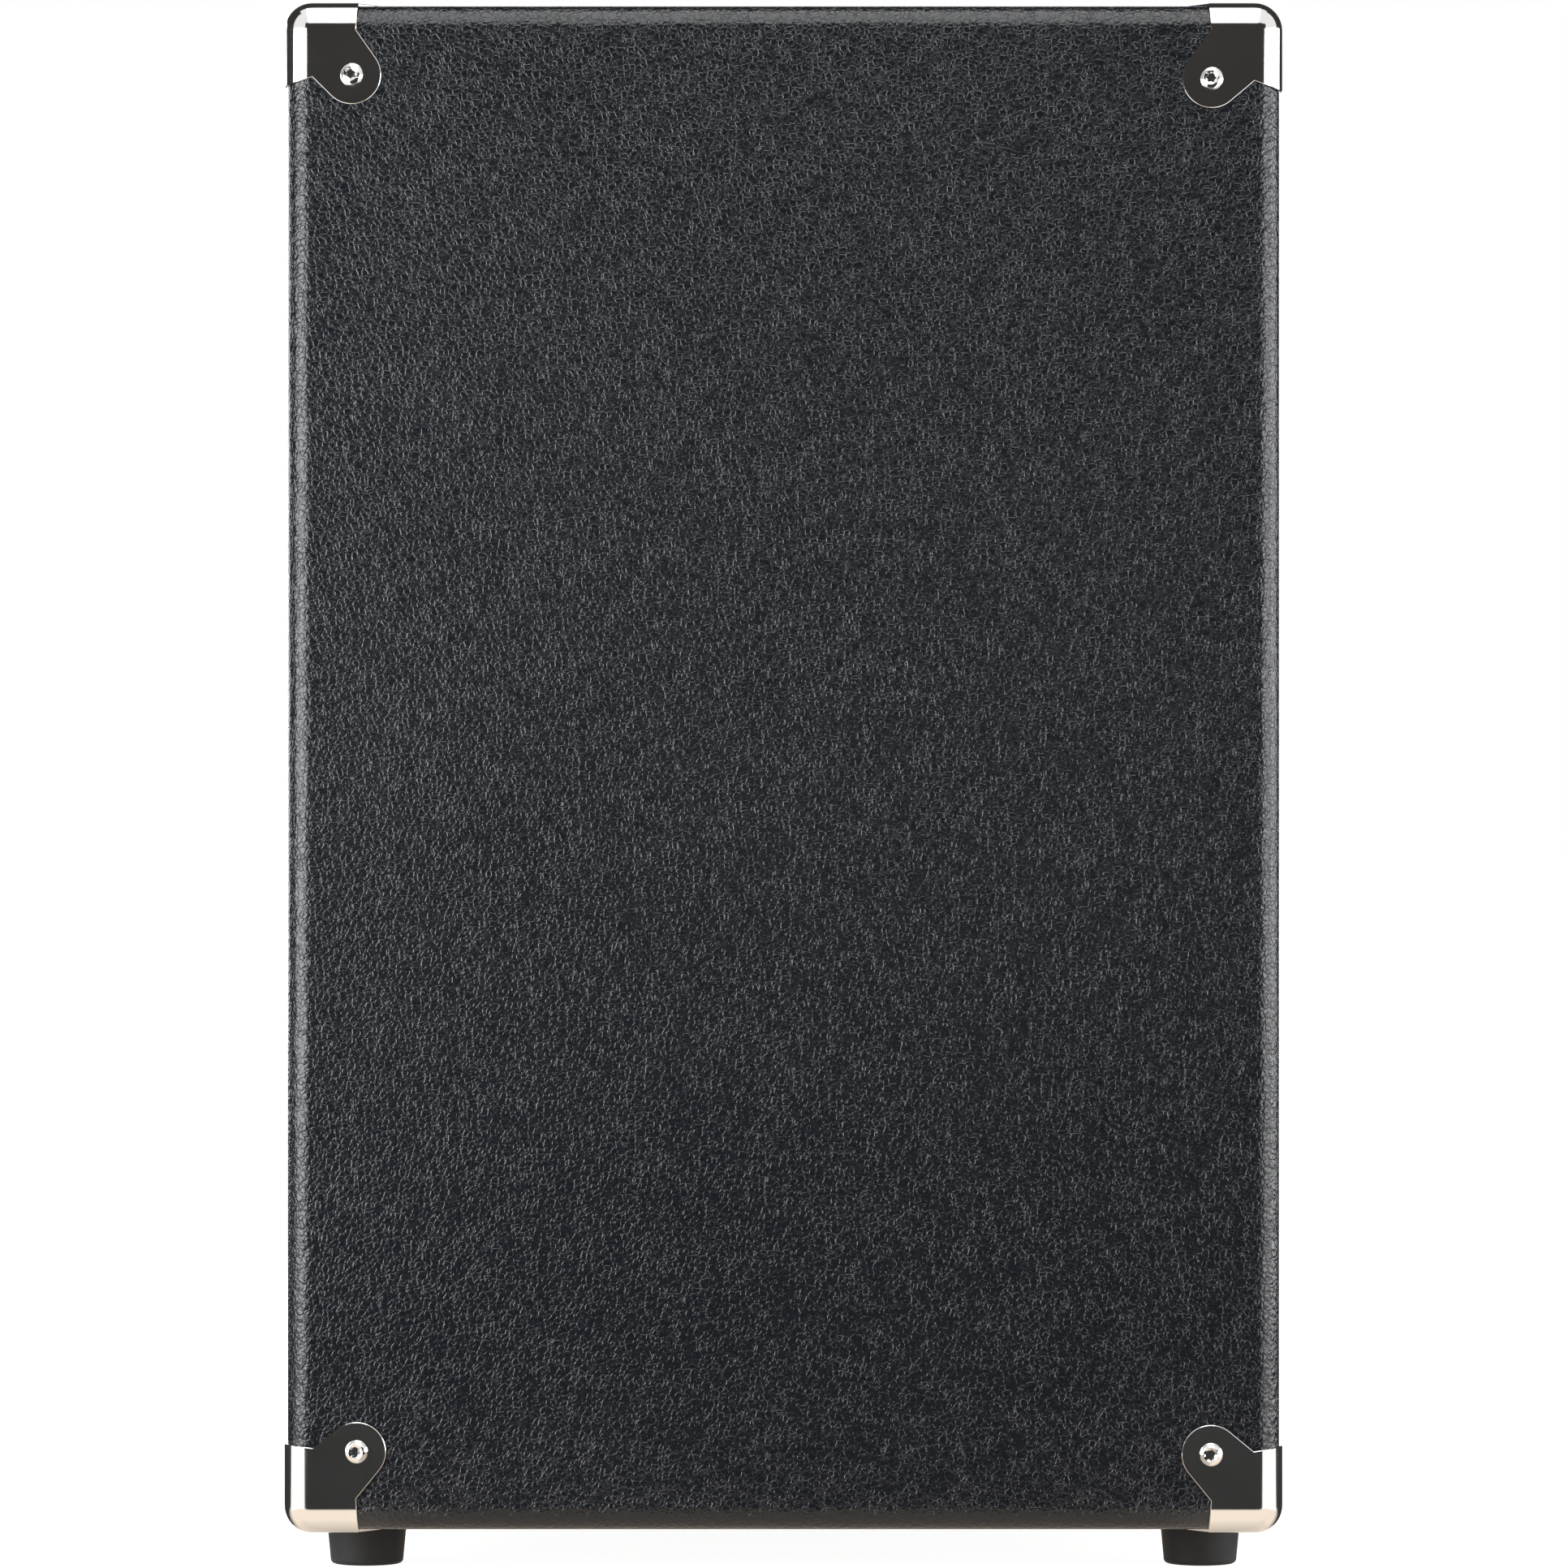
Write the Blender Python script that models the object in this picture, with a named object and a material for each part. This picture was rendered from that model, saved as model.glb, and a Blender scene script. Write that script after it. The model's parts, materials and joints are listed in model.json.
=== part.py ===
# Bass combo amplifier: a vinyl-covered plywood cabinet with a 15 inch woofer, a horn,
# two tuned ports and an amplifier chassis above them.
# The frame: +Z is up, the grille faces -Y, and the origin is on the floor, under the
# middle of the cabinet. All sizes are in metres.

import math

import bmesh
import bpy
from mathutils import Matrix, Vector

for old_object in list(bpy.data.objects):
    bpy.data.objects.remove(old_object)

# Cabinet
cabinet_depth = 0.386
edge_radius = 0.0095
ply_thickness = 0.015
vinyl_thickness = 0.001
seat_gap = 0.0003
front_wrap_depth = 0.047
rear_wrap_depth = 0.027
shelf_thickness = 0.012
shelf_setback = 0.010
control_bay_height = 0.084
rear_recess = 0.012
rear_board_thickness = 0.012
join_overlap = 0.0005

# Baffle and grille
baffle_thickness = 0.018
woofer_side_margin = 0.0446
woofer_base_margin = 0.016
woofer_top_margin = 0.0602
corner_part_margin = 0.0165
grille_recess = 0.008
grille_clearance = 0.001
grille_frame_thickness = 0.0125
grille_rail_width = 0.0125
cloth_thickness = 0.0012
piping_diameter = 0.0042

# Feet
foot_height = 0.0183
foot_top_radius = 0.0156
foot_base_radius = 0.0144
foot_edge_radius = 0.0018
foot_recess_radius = 0.0062
foot_recess_depth = 0.0075
foot_side_inset = 0.062
foot_end_inset = 0.028

# Metal corners
corner_thickness = 0.001
corner_reach_width = 0.030
corner_reach_depth = 0.0284
corner_reach_height = 0.0335
corner_near_taper = 0.0008
corner_far_taper = 0.0038
corner_lip_taper = 0.0028
corner_near_knee = 0.0108
corner_far_knee = 0.0105
corner_screw_near = 0.0281
corner_screw_far = 0.0307
corner_lobe_radius = 0.012
corner_lip_width = 0.0155
corner_screw_radius = 0.0045
corner_screw_height = 0.0024

# Carrying handle
handle_span = 0.172
strap_width = 0.024
strap_thickness = 0.006
strap_rise = 0.0135
strap_bend_length = 0.025
strap_foot_room = 0.001
cap_room = 0.0005
cap_length = 0.028
cap_wall = 0.0015
cap_overhang = 0.004

# Woofer, measured along its axis from the front of the baffle
woofer_radius = 0.1925
woofer_flange_thickness = 0.0055
woofer_cutout_radius = 0.1775
basket_wall = 0.0026
basket_depth = 0.083
basket_back_radius = 0.0815
basket_mouth_radius = 0.168
basket_bore_radius = 0.036
basket_spokes = 6
basket_window_inner = 0.100
basket_window_outer = 0.152
basket_window_share = 0.70
cone_radius = 0.155
cone_front = 0.0
cone_depth = 0.056
cone_thickness = 0.0014
dust_cap_radius = 0.046
dust_cap_height = 0.014
surround_height = 0.0062
surround_thickness = 0.001
spider_front = -0.0700
spider_thickness = 0.0009
spider_wave = 0.0018
spider_waves = 4
coil_radius = 0.0256
coil_former_thickness = 0.0008
coil_winding_thickness = 0.0007
coil_winding_length = 0.012
coil_length = 0.045
magnet_gap_clearance = 0.0008
top_plate_radius = 0.062
top_plate_thickness = 0.008
magnet_radius = 0.078
magnet_thickness = 0.020
yoke_radius = 0.070
yoke_thickness = 0.008

# Horn and ports
horn_flange_side = 0.086
horn_flange_thickness = 0.004
horn_flange_corner = 0.008
horn_mouth_radius = 0.034
horn_throat_radius = 0.0125
horn_depth = 0.045
horn_wall = 0.002
horn_driver_radius = 0.027
horn_driver_length = 0.034
horn_driver_shoulder = 0.008
horn_driver_edge = 0.003
port_radius = 0.030
port_wall = 0.0025
port_flange_radius = 0.037
port_flange_thickness = 0.003
port_length = 0.110
port_mouth_flare = 0.003
hole_clearance = 0.0006

# Control panel
panel_recess = 0.030
panel_thickness = 0.002
jack_to_button = 0.036
button_spacing = 0.020
button_to_knob = 0.036
knob_spacing = 0.038
knob_to_phones = 0.038
phones_to_lamp = 0.028
knob_radius = 0.0105
knob_grip_radius = 0.0078
knob_height = 0.016
knob_skirt_height = 0.0035
knob_edge = 0.0008
knob_nut_room = 0.0008
knob_nut_head_room = 0.0012
knob_flutes = 9
knob_flute_depth = 0.0008
knob_pointer_width = 0.0014
knob_pointer_sunk = 0.0008
knob_pointer_proud = 0.0004
knob_lift = 0.0008
shaft_radius = 0.0029
pot_bushing_radius = 0.0044
pot_nut_radius = 0.0060
pot_nut_thickness = 0.0020
pot_case_radius = 0.0085
pot_case_length = 0.0095
pot_bushing_length = 0.0060
shaft_end_room = 0.001
shaft_running_gap = 0.0005
control_board_margin = 0.01234
control_board_height = 0.044
button_radius = 0.0040
button_proud = 0.0055
button_tail = 0.0060
button_running_gap = 0.0006
button_edge = 0.0006
switch_side = 0.0110
switch_gap = 0.0036
lamp_radius = 0.0034
lamp_height = 0.0040
lamp_bezel_width = 0.0014
lamp_bezel_height = 0.0012
lamp_tail = 0.006

# Sockets
jack_bore_radius = 0.0035
jack_bore_depth = 0.027
jack_bushing_radius = 0.0050
jack_nut_radius = 0.0078
jack_nut_thickness = 0.0026
jack_body_radius = 0.0092
jack_body_length = 0.0285
di_flange_width = 0.026
di_flange_height = 0.031
di_flange_thickness = 0.0016
di_flange_corner = 0.004
di_lip = 0.0006
di_floor_thickness = 0.003
di_bore_radius = 0.0096
di_bore_depth = 0.0140
di_shell_wall = 0.0016
di_pin_radius = 0.0013
di_pin_circle = 0.0046
di_pin_length = 0.0105

# Chassis and its rear panel
tray_thickness = 0.0015
tray_side_room = 0.0224
tray_wall_height = 0.058
rear_panel_thickness = 0.0016
rear_inlet_to_switch = 0.040
rear_switch_to_speaker = 0.040
rear_speaker_to_di = 0.042
rear_di_to_vents = 0.040
vent_count = 12
vent_spacing = 0.0085
vent_width = 0.0040
vent_height = 0.036
inlet_flange_width = 0.031
inlet_flange_height = 0.042
inlet_flange_thickness = 0.0022
inlet_corner = 0.003
inlet_body_width = 0.0275
inlet_body_height = 0.0385
inlet_body_depth = 0.030
inlet_cavity_width = 0.0240
inlet_cavity_height = 0.0165
inlet_cavity_depth = 0.0170
inlet_cavity_lift = 0.0080
inlet_blade_width = 0.0018
inlet_blade_height = 0.0040
inlet_blade_length = 0.0140
inlet_blade_spacing = 0.0070
inlet_earth_lift = 0.003
inlet_blade_drop = 0.001
drawer_width = 0.0220
drawer_height = 0.0085
drawer_depth = 0.0240
drawer_drop = 0.0105
drawer_lip = 0.0016
drawer_side_wall = 0.002
drawer_end_wall = 0.002
drawer_face_wall = 0.003
switch_flange_width = 0.0160
switch_flange_height = 0.0300
switch_flange_thickness = 0.0018
switch_flange_lip = 0.002
switch_body_depth = 0.0180
rocker_width = 0.0100
rocker_half_height = 0.0095
rocker_rise = 0.0060
rocker_dish = 0.0018
rocker_depth = 0.0050
rocker_foot_half_height = 0.003
rocker_shoulder_depth = 0.001
rocker_pivot_depth = 0.0045
rocker_rest_angle = math.radians(10)
rocker_room = 0.0008

# Electronics
board_thickness = 0.0016
standoff_height = 0.006
standoff_radius = 0.003
standoff_inset = 0.006
main_board_width = 0.190
main_board_depth = 0.150
main_board_side_room = 0.060
main_board_rear_room = 0.060
reservoir_count = 4
reservoir_radius = 0.011
reservoir_height = 0.032
reservoir_spacing = 0.028
reservoir_side_inset = 0.035
reservoir_rear_inset = 0.045
transformer_side_room = 0.012
transformer_radius = 0.050
transformer_bore_radius = 0.014
transformer_height = 0.040
transformer_edge_radius = 0.010
sink_width = 0.110
sink_height = 0.046
sink_base_thickness = 0.006
sink_fin_length = 0.030
sink_fin_thickness = 0.0025
sink_fins = 9
sink_rear_room = 0.006
crossover_width = 0.090
crossover_depth = 0.060
crossover_coil_bore = 0.006
crossover_coil_radius = 0.017
crossover_coil_height = 0.016
crossover_coil_inset = 0.027
crossover_capacitor_radius = 0.011
crossover_capacitor_height = 0.030
crossover_capacitor_inset = 0.023

# Levels and faces worked out from the sizes above, from the outside of the cabinet inwards
ply_inset = vinyl_thickness + seat_gap
wrap_inset = vinyl_thickness + seat_gap
wall_build = ply_inset + ply_thickness + wrap_inset
baffle_half_width = woofer_radius + woofer_side_margin
baffle_height = woofer_base_margin + 2 * woofer_radius + woofer_top_margin
mouth_half_width = baffle_half_width + seat_gap
half_width = mouth_half_width + wall_build
tray_half_width = mouth_half_width - tray_side_room
half_depth = cabinet_depth / 2
cabinet_base = foot_height
mouth_base = cabinet_base + wall_build
baffle_base = mouth_base + seat_gap
baffle_top = baffle_base + baffle_height
shelf_base = baffle_top + seat_gap
shelf_top = shelf_base + shelf_thickness
mouth_top = shelf_top + control_bay_height
cabinet_top = mouth_top + wall_build

front = -half_depth
rear = half_depth
piping_front = front + grille_recess
cloth_front = piping_front + piping_diameter + seat_gap
frame_front = cloth_front + cloth_thickness + seat_gap
frame_back = frame_front + grille_frame_thickness
baffle_front = frame_back + seat_gap
panel_face = front + panel_recess
panel_back = panel_face + panel_thickness
rear_face = rear - rear_recess
rear_panel_back = rear_face - rear_panel_thickness
panel_middle = (shelf_top + mouth_top) / 2
bay_floor = mouth_base - wrap_inset

woofer_height = baffle_base + woofer_base_margin + woofer_radius
horn_x = baffle_half_width - corner_part_margin - horn_flange_side / 2
horn_height = baffle_top - corner_part_margin - horn_flange_side / 2
port_x = baffle_half_width - corner_part_margin - port_flange_radius
port_height = baffle_base + corner_part_margin + port_flange_radius
port_hole_radius = port_radius + port_wall + hole_clearance
horn_hole_radius = horn_mouth_radius + horn_wall + hole_clearance

knob_names = ["gain", "bass", "low_mid", "high_mid", "treble", "master"]
button_names = ["pad", "deep", "bright"]
knob_count = len(knob_names)
button_count = len(button_names)
control_row = (
    jack_to_button
    + (button_count - 1) * button_spacing
    + button_to_knob
    + (knob_count - 1) * knob_spacing
    + knob_to_phones
    + phones_to_lamp
)
input_x = -control_row / 2
button_xs = [input_x + jack_to_button + i * button_spacing for i in range(button_count)]
knob_xs = [button_xs[-1] + button_to_knob + i * knob_spacing for i in range(knob_count)]
phones_x = knob_xs[-1] + knob_to_phones
lamp_x = phones_x + phones_to_lamp

switch_width = switch_flange_width - 2 * switch_flange_lip
switch_height = switch_flange_height - 2 * switch_flange_lip
vent_run = (vent_count - 1) * vent_spacing
rear_row = (
    rear_inlet_to_switch
    + rear_switch_to_speaker
    + rear_speaker_to_di
    + rear_di_to_vents
    + vent_run
)
inlet_x = -rear_row / 2
switch_x = inlet_x + rear_inlet_to_switch
speaker_jack_x = switch_x + rear_switch_to_speaker
di_x = speaker_jack_x + rear_speaker_to_di
vents_x = di_x + rear_di_to_vents

cap_outer_end = handle_span / 2 + cap_room + cap_wall + cap_overhang
strap_half_flat = cap_outer_end - cap_length - strap_foot_room - strap_bend_length

facing_front = (math.pi / 2, 0, 0)
facing_back = (math.pi / 2, 0, math.pi)
upright = (0, 0, 0)
round_steps = 4


def finish(name, colour, roughness, metallic=0.0):
    """A Principled material for one kind of surface."""
    material = bpy.data.materials.new(name)
    material.use_nodes = True
    shader = material.node_tree.nodes["Principled BSDF"]
    shader.inputs["Base Color"].default_value = (*colour, 1)
    shader.inputs["Roughness"].default_value = roughness
    shader.inputs["Metallic"].default_value = metallic
    material.diffuse_color = (*colour, 1)
    return material


plywood = finish("plywood", (0.50, 0.36, 0.20), 0.75)
vinyl = finish("vinyl", (0.030, 0.033, 0.037), 0.55)
nickel = finish("nickel", (0.72, 0.70, 0.67), 0.14, 1.0)
rubber = finish("rubber", (0.028, 0.028, 0.029), 0.80)
cloth = finish("grille_cloth", (0.12, 0.12, 0.13), 0.85)
piping_white = finish("piping", (0.62, 0.62, 0.60), 0.50)
black_panel = finish("panel", (0.018, 0.018, 0.020), 0.42, 0.3)
sheet_steel = finish("sheet_steel", (0.48, 0.49, 0.50), 0.38, 1.0)
black_plastic = finish("black_plastic", (0.020, 0.020, 0.021), 0.45)
magnet_black = finish("ferrite", (0.040, 0.040, 0.043), 0.70)
paper = finish("paper_cone", (0.045, 0.043, 0.040), 0.90)
copper = finish("copper", (0.72, 0.36, 0.20), 0.35, 1.0)
board_green = finish("circuit_board", (0.03, 0.14, 0.07), 0.50)
aluminium = finish("aluminium", (0.55, 0.56, 0.57), 0.40, 1.0)
lamp_red = finish("lamp", (0.45, 0.02, 0.02), 0.20)


def make_object(name, bm, material, location=(0, 0, 0), rotation=upright):
    """Turns a bmesh into a named object, placed in the cabinet's frame."""
    bmesh.ops.recalc_face_normals(bm, faces=bm.faces[:])
    mesh = bpy.data.meshes.new(name)
    bm.to_mesh(mesh)
    bm.free()
    made = bpy.data.objects.new(name, mesh)
    made.location = location
    made.rotation_euler = rotation
    bpy.context.scene.collection.objects.link(made)
    if material:
        mesh.materials.append(material)
    return made


def helper(made):
    """Marks an object that only cuts or joins others."""
    made.hide_render = True
    made.display_type = "WIRE"
    return made


def combine(target, other, operation):
    """Joins a helper to the target, or cuts it away, and leaves the modifier live."""
    modifier = target.modifiers.new(other.name, "BOOLEAN")
    modifier.operation = operation
    modifier.object = helper(other)
    modifier.solver = "EXACT"


def smooth(made, angle=30):
    """Shades a round piece smooth, with its edges kept sharp."""
    made.data.shade_smooth()
    made.data.set_sharp_from_angle(angle=math.radians(angle))
    return made


def circle(radius, steps, centre=(0, 0), turn=0.0):
    """Corners of a regular outline round a centre."""
    return [
        (
            centre[0] + radius * math.cos(turn + 2 * math.pi * i / steps),
            centre[1] + radius * math.sin(turn + 2 * math.pi * i / steps),
        )
        for i in range(steps)
    ]


def rectangle(width, height, centre=(0, 0)):
    """Corners of an upright rectangle round a centre."""
    x, y = centre
    return [
        (x - width / 2, y - height / 2),
        (x + width / 2, y - height / 2),
        (x + width / 2, y + height / 2),
        (x - width / 2, y + height / 2),
    ]


def rounded_rectangle(width, height, radius, steps, centre=(0, 0)):
    """Corners of a rectangle with round corners, each of the given number of steps."""
    points = []
    for quarter, (side_x, side_y) in enumerate([(1, 1), (-1, 1), (-1, -1), (1, -1)]):
        middle_x = centre[0] + side_x * (width / 2 - radius)
        middle_y = centre[1] + side_y * (height / 2 - radius)
        for i in range(steps + 1):
            angle = (quarter + i / steps) * math.pi / 2
            points.append((middle_x + radius * math.cos(angle), middle_y + radius * math.sin(angle)))
    return points


def flat_bmesh(outline, holes, back, face):
    """A plate between two heights, with its outline and holes drawn in X and Y."""
    bm = bmesh.new()
    for loop in [outline, *holes]:
        corners = [bm.verts.new((x, y, back)) for x, y in loop]
        for i, corner in enumerate(corners):
            bm.edges.new((corner, corners[(i + 1) % len(corners)]))
    bmesh.ops.triangle_fill(bm, edges=bm.edges[:], use_beauty=True, normal=(0, 0, 1))
    raised = bmesh.ops.extrude_face_region(bm, geom=bm.faces[:])
    moved = [v for v in raised["geom"] if isinstance(v, bmesh.types.BMVert)]
    bmesh.ops.translate(bm, verts=moved, vec=(0, 0, face - back))
    return bm


def plate(name, outline, holes, back, face, material, location=(0, 0, 0), rotation=upright):
    return make_object(name, flat_bmesh(outline, holes, back, face), material, location, rotation)


def turned(name, profile, steps, material, location=(0, 0, 0), rotation=upright, closed=True):
    """Spins a (radius, height) profile about its own Z axis. An open profile starts and ends on the axis."""
    bm = bmesh.new()
    points = [bm.verts.new((radius, 0, height)) for radius, height in profile]
    pairs = list(zip(points, points[1:]))
    if closed:
        pairs.append((points[-1], points[0]))
    edges = [bm.edges.new(pair) for pair in pairs]
    bmesh.ops.spin(
        bm,
        geom=points + edges,
        cent=(0, 0, 0),
        axis=(0, 0, 1),
        angle=2 * math.pi,
        steps=steps,
        use_merge=True,
    )
    bmesh.ops.remove_doubles(bm, verts=bm.verts[:], dist=1e-6)
    return smooth(make_object(name, bm, material, location, rotation))


def box(name, low, high, material, bevel=0.0, steps=1):
    """A block between two corners, with its edges bevelled where asked."""
    low, high = Vector(low), Vector(high)
    bm = bmesh.new()
    bmesh.ops.create_cube(bm, size=1, matrix=Matrix.Diagonal((*(high - low), 1)))
    if bevel:
        bmesh.ops.bevel(
            bm,
            geom=bm.edges[:],
            offset=bevel,
            segments=steps,
            profile=0.5,
            affect="EDGES",
            clamp_overlap=True,
        )
    return make_object(name, bm, material, (low + high) / 2)


def grown(low, high, by):
    """Two corners moved outwards by the same distance."""
    step = Vector((by, by, by))
    return Vector(low) - step, Vector(high) + step


# Cabinet: a plywood box that is open at the front and the rear, and its glued covering

cabinet_low = Vector((-half_width, front, cabinet_base))
cabinet_high = Vector((half_width, rear, cabinet_top))
ply_low, ply_high = grown(cabinet_low, cabinet_high, -ply_inset)
beyond = 0.010


def through_box(name, inset, start, end):
    """A block across the cabinet from one depth to another, inset from its outside."""
    return box(
        name,
        (-half_width + inset, start, cabinet_base + inset),
        (half_width - inset, end, cabinet_top - inset),
        None,
    )


def build_cabinet():
    shell = smooth(
        box("cabinet_shell", ply_low, ply_high, plywood, edge_radius - ply_inset, round_steps - 1)
    )
    bay = through_box("bay_cutter", ply_inset + ply_thickness, front - beyond, rear + beyond)
    combine(shell, bay, "DIFFERENCE")

    covering = smooth(
        box("vinyl_covering", cabinet_low, cabinet_high, vinyl, edge_radius, round_steps)
    )
    core_low, core_high = grown(ply_low, ply_high, seat_gap)
    core = box(
        "covering_core", core_low, core_high, None, edge_radius - vinyl_thickness, round_steps - 1
    )
    combine(covering, core, "DIFFERENCE")
    lining_inset = ply_inset + ply_thickness + seat_gap
    start = front + vinyl_thickness / 2
    front_lining = through_box("front_lining", lining_inset, start, front + front_wrap_depth)
    combine(covering, front_lining, "UNION")
    end = rear - vinyl_thickness / 2
    rear_lining = through_box("rear_lining", lining_inset, rear - rear_wrap_depth, end)
    combine(covering, rear_lining, "UNION")
    mouth = through_box("mouth_cutter", wall_build, front - beyond, rear + beyond)
    combine(covering, mouth, "DIFFERENCE")

    board_width = 2 * baffle_half_width
    box(
        "amp_shelf",
        (-baffle_half_width, front + shelf_setback, shelf_base),
        (baffle_half_width, rear_face, shelf_top),
        vinyl,
    )
    rear_board_height = shelf_base - seat_gap - baffle_base
    plate(
        "rear_board",
        rectangle(board_width, rear_board_height),
        [],
        -rear_board_thickness,
        0,
        vinyl,
        (0, rear_face, baffle_base + rear_board_height / 2),
        facing_back,
    )


# Metal corners: pressed caps over the eight corners, with a screwed lobe on the side
# face and on the top or bottom face, and a narrow lip on the front or rear edge

corner_rest = edge_radius + seat_gap
corner_outside = seat_gap + corner_thickness
corner_block = 0.060
corner_overrun = 0.012


def tangent_point(point, centre, radius, side):
    """Where a line from a point touches a circle, on one side of it."""
    dx, dy = point[0] - centre[0], point[1] - centre[1]
    spread = math.acos(radius / math.hypot(dx, dy))
    angle = math.atan2(dy, dx) + side * spread
    return angle


def lobed_outline(reach_near, reach_far, centre):
    """Outline of a corner cap on a face, from the cabinet's corner out to the screwed lobe."""
    near_knee = (reach_near - corner_near_taper, corner_near_knee)
    far_knee = (corner_far_knee, reach_far - corner_far_taper)
    start = tangent_point(near_knee, centre, corner_lobe_radius, 1)
    end = tangent_point(far_knee, centre, corner_lobe_radius, -1)
    arc_steps = 7
    while end < start:
        end += 2 * math.pi
    arc = [start + (end - start) * i / arc_steps for i in range(arc_steps + 1)]
    lobe = [
        (
            centre[0] + corner_lobe_radius * math.cos(angle),
            centre[1] + corner_lobe_radius * math.sin(angle),
        )
        for angle in arc
    ]
    return [
        (-corner_overrun, -corner_overrun),
        (reach_near, -corner_overrun),
        (reach_near, 0),
        near_knee,
        *lobe,
        far_knee,
        (0, reach_far),
        (-corner_overrun, reach_far),
    ]


def lip_outline():
    """Outline of a corner cap on the narrow front or rear edge of the boards."""
    return [
        (-corner_overrun, -corner_overrun),
        (corner_reach_width, -corner_overrun),
        (corner_reach_width - corner_lip_taper, corner_lip_width),
        (corner_lip_width, corner_lip_width),
        (corner_lip_width, corner_reach_height - corner_lip_taper),
        (-corner_overrun, corner_reach_height),
    ]


def corner_shape(name, outside, size):
    """A block with the three edges at its lowest corner rounded over."""
    bm = bmesh.new()
    middle = (size - outside) / 2
    matrix = Matrix.Translation((middle,) * 3) @ Matrix.Scale(size + outside, 4)
    bmesh.ops.create_cube(bm, size=1, matrix=matrix)
    tip = min(bm.verts, key=lambda v: v.co.x + v.co.y + v.co.z)
    bmesh.ops.bevel(
        bm,
        geom=list(tip.link_edges) + [tip],
        offset=edge_radius + outside,
        segments=round_steps,
        profile=0.5,
        affect="EDGES",
    )
    return make_object(name, bm, nickel)


def screw_head(name, location, rotation):
    """A low round head, sunk a little into the cap that it holds."""
    top = corner_outside + corner_screw_height
    return turned(
        name,
        [
            (0, top),
            (corner_screw_radius * 0.55, top),
            (corner_screw_radius * 0.95, top - corner_screw_height * 0.45),
            (corner_screw_radius, corner_outside - corner_thickness / 2),
            (0, corner_outside - corner_thickness / 2),
        ],
        10,
        nickel,
        location,
        rotation,
        closed=False,
    )


def corner_mesh():
    """One corner cap, modelled with its axes pointing into the cabinet."""
    cap = corner_shape("corner_cap", corner_outside, corner_block)
    hollow = corner_shape("corner_hollow", seat_gap, corner_block + corner_overrun)
    combine(cap, hollow, "DIFFERENCE")
    depth = corner_rest
    side_lobe = (corner_screw_near, corner_screw_far)
    top_lobe = (corner_screw_far, corner_screw_near)
    side_outline = lobed_outline(corner_reach_depth, corner_reach_height, side_lobe)
    top_outline = lobed_outline(corner_reach_width, corner_reach_depth, top_lobe)
    towards_x = (math.pi / 2, 0, math.pi / 2)
    side_prism = plate(
        "side_prism", side_outline, [], -corner_overrun, depth, None, (0, 0, 0), towards_x
    )
    top_prism = plate("top_prism", top_outline, [], -corner_overrun, depth, None)
    lip_prism = plate(
        "lip_prism", lip_outline(), [], -depth, corner_overrun, None, (0, 0, 0), facing_front
    )
    combine(side_prism, top_prism, "UNION")
    combine(side_prism, lip_prism, "UNION")
    combine(cap, side_prism, "INTERSECT")
    outwards_x = (0, -math.pi / 2, 0)
    outwards_z = (math.pi, 0, 0)
    side_screw = screw_head("side_screw", (0, *side_lobe), outwards_x)
    top_screw = screw_head("top_screw", (*top_lobe, 0), outwards_z)
    combine(cap, side_screw, "UNION")
    combine(cap, top_screw, "UNION")
    bpy.context.view_layer.update()
    evaluated = cap.evaluated_get(bpy.context.evaluated_depsgraph_get())
    mesh = bpy.data.meshes.new_from_object(evaluated)
    for used in [cap, hollow, side_prism, top_prism, lip_prism, side_screw, top_screw]:
        bpy.data.objects.remove(used)
    return mesh


def build_corners():
    pattern = corner_mesh()
    for x_side, x_name in ((-1, "left"), (1, "right")):
        for y_side, y_name in ((-1, "front"), (1, "rear")):
            for z_side, z_name in ((-1, "bottom"), (1, "top")):
                mesh = pattern.copy()
                mesh.transform(Matrix.Diagonal((-x_side, -y_side, -z_side, 1)))
                if x_side * y_side * z_side > 0:
                    mesh.flip_normals()
                name = f"corner_{y_name}_{z_name}_{x_name}"
                mesh.name = name
                cap = bpy.data.objects.new(name, mesh)
                level = cabinet_top if z_side > 0 else cabinet_base
                cap.location = (x_side * half_width, y_side * half_depth, level)
                bpy.context.scene.collection.objects.link(cap)
                smooth(cap)
    bpy.data.meshes.remove(pattern)


# Feet: moulded rubber cones with a screw recess underneath


def build_feet():
    top = cabinet_base - seat_gap
    profile = [
        (0, top),
        (foot_top_radius, top),
        (foot_top_radius, top * 0.72),
        (foot_base_radius, foot_edge_radius),
        (foot_base_radius - foot_edge_radius * 0.3, foot_edge_radius * 0.3),
        (foot_base_radius - foot_edge_radius, 0),
        (foot_recess_radius, 0),
        (foot_recess_radius, foot_recess_depth),
        (0, foot_recess_depth),
    ]
    for x_side, x_name in ((-1, "left"), (1, "right")):
        for y_side, y_name in ((-1, "front"), (1, "rear")):
            x = x_side * (half_width - foot_side_inset)
            y = y_side * (half_depth - foot_end_inset)
            turned(f"foot_{y_name}_{x_name}", profile, 16, rubber, (x, y, 0), closed=False)


# Carrying handle: a moulded strap whose ends slide under two screwed metal caps


def strap_height(x):
    """Height of the strap's middle above its ends, at a distance from its middle."""
    along = min(max((abs(x) - strap_half_flat) / strap_bend_length, 0), 1)
    return strap_rise * (1 + math.cos(math.pi * along)) / 2


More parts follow.
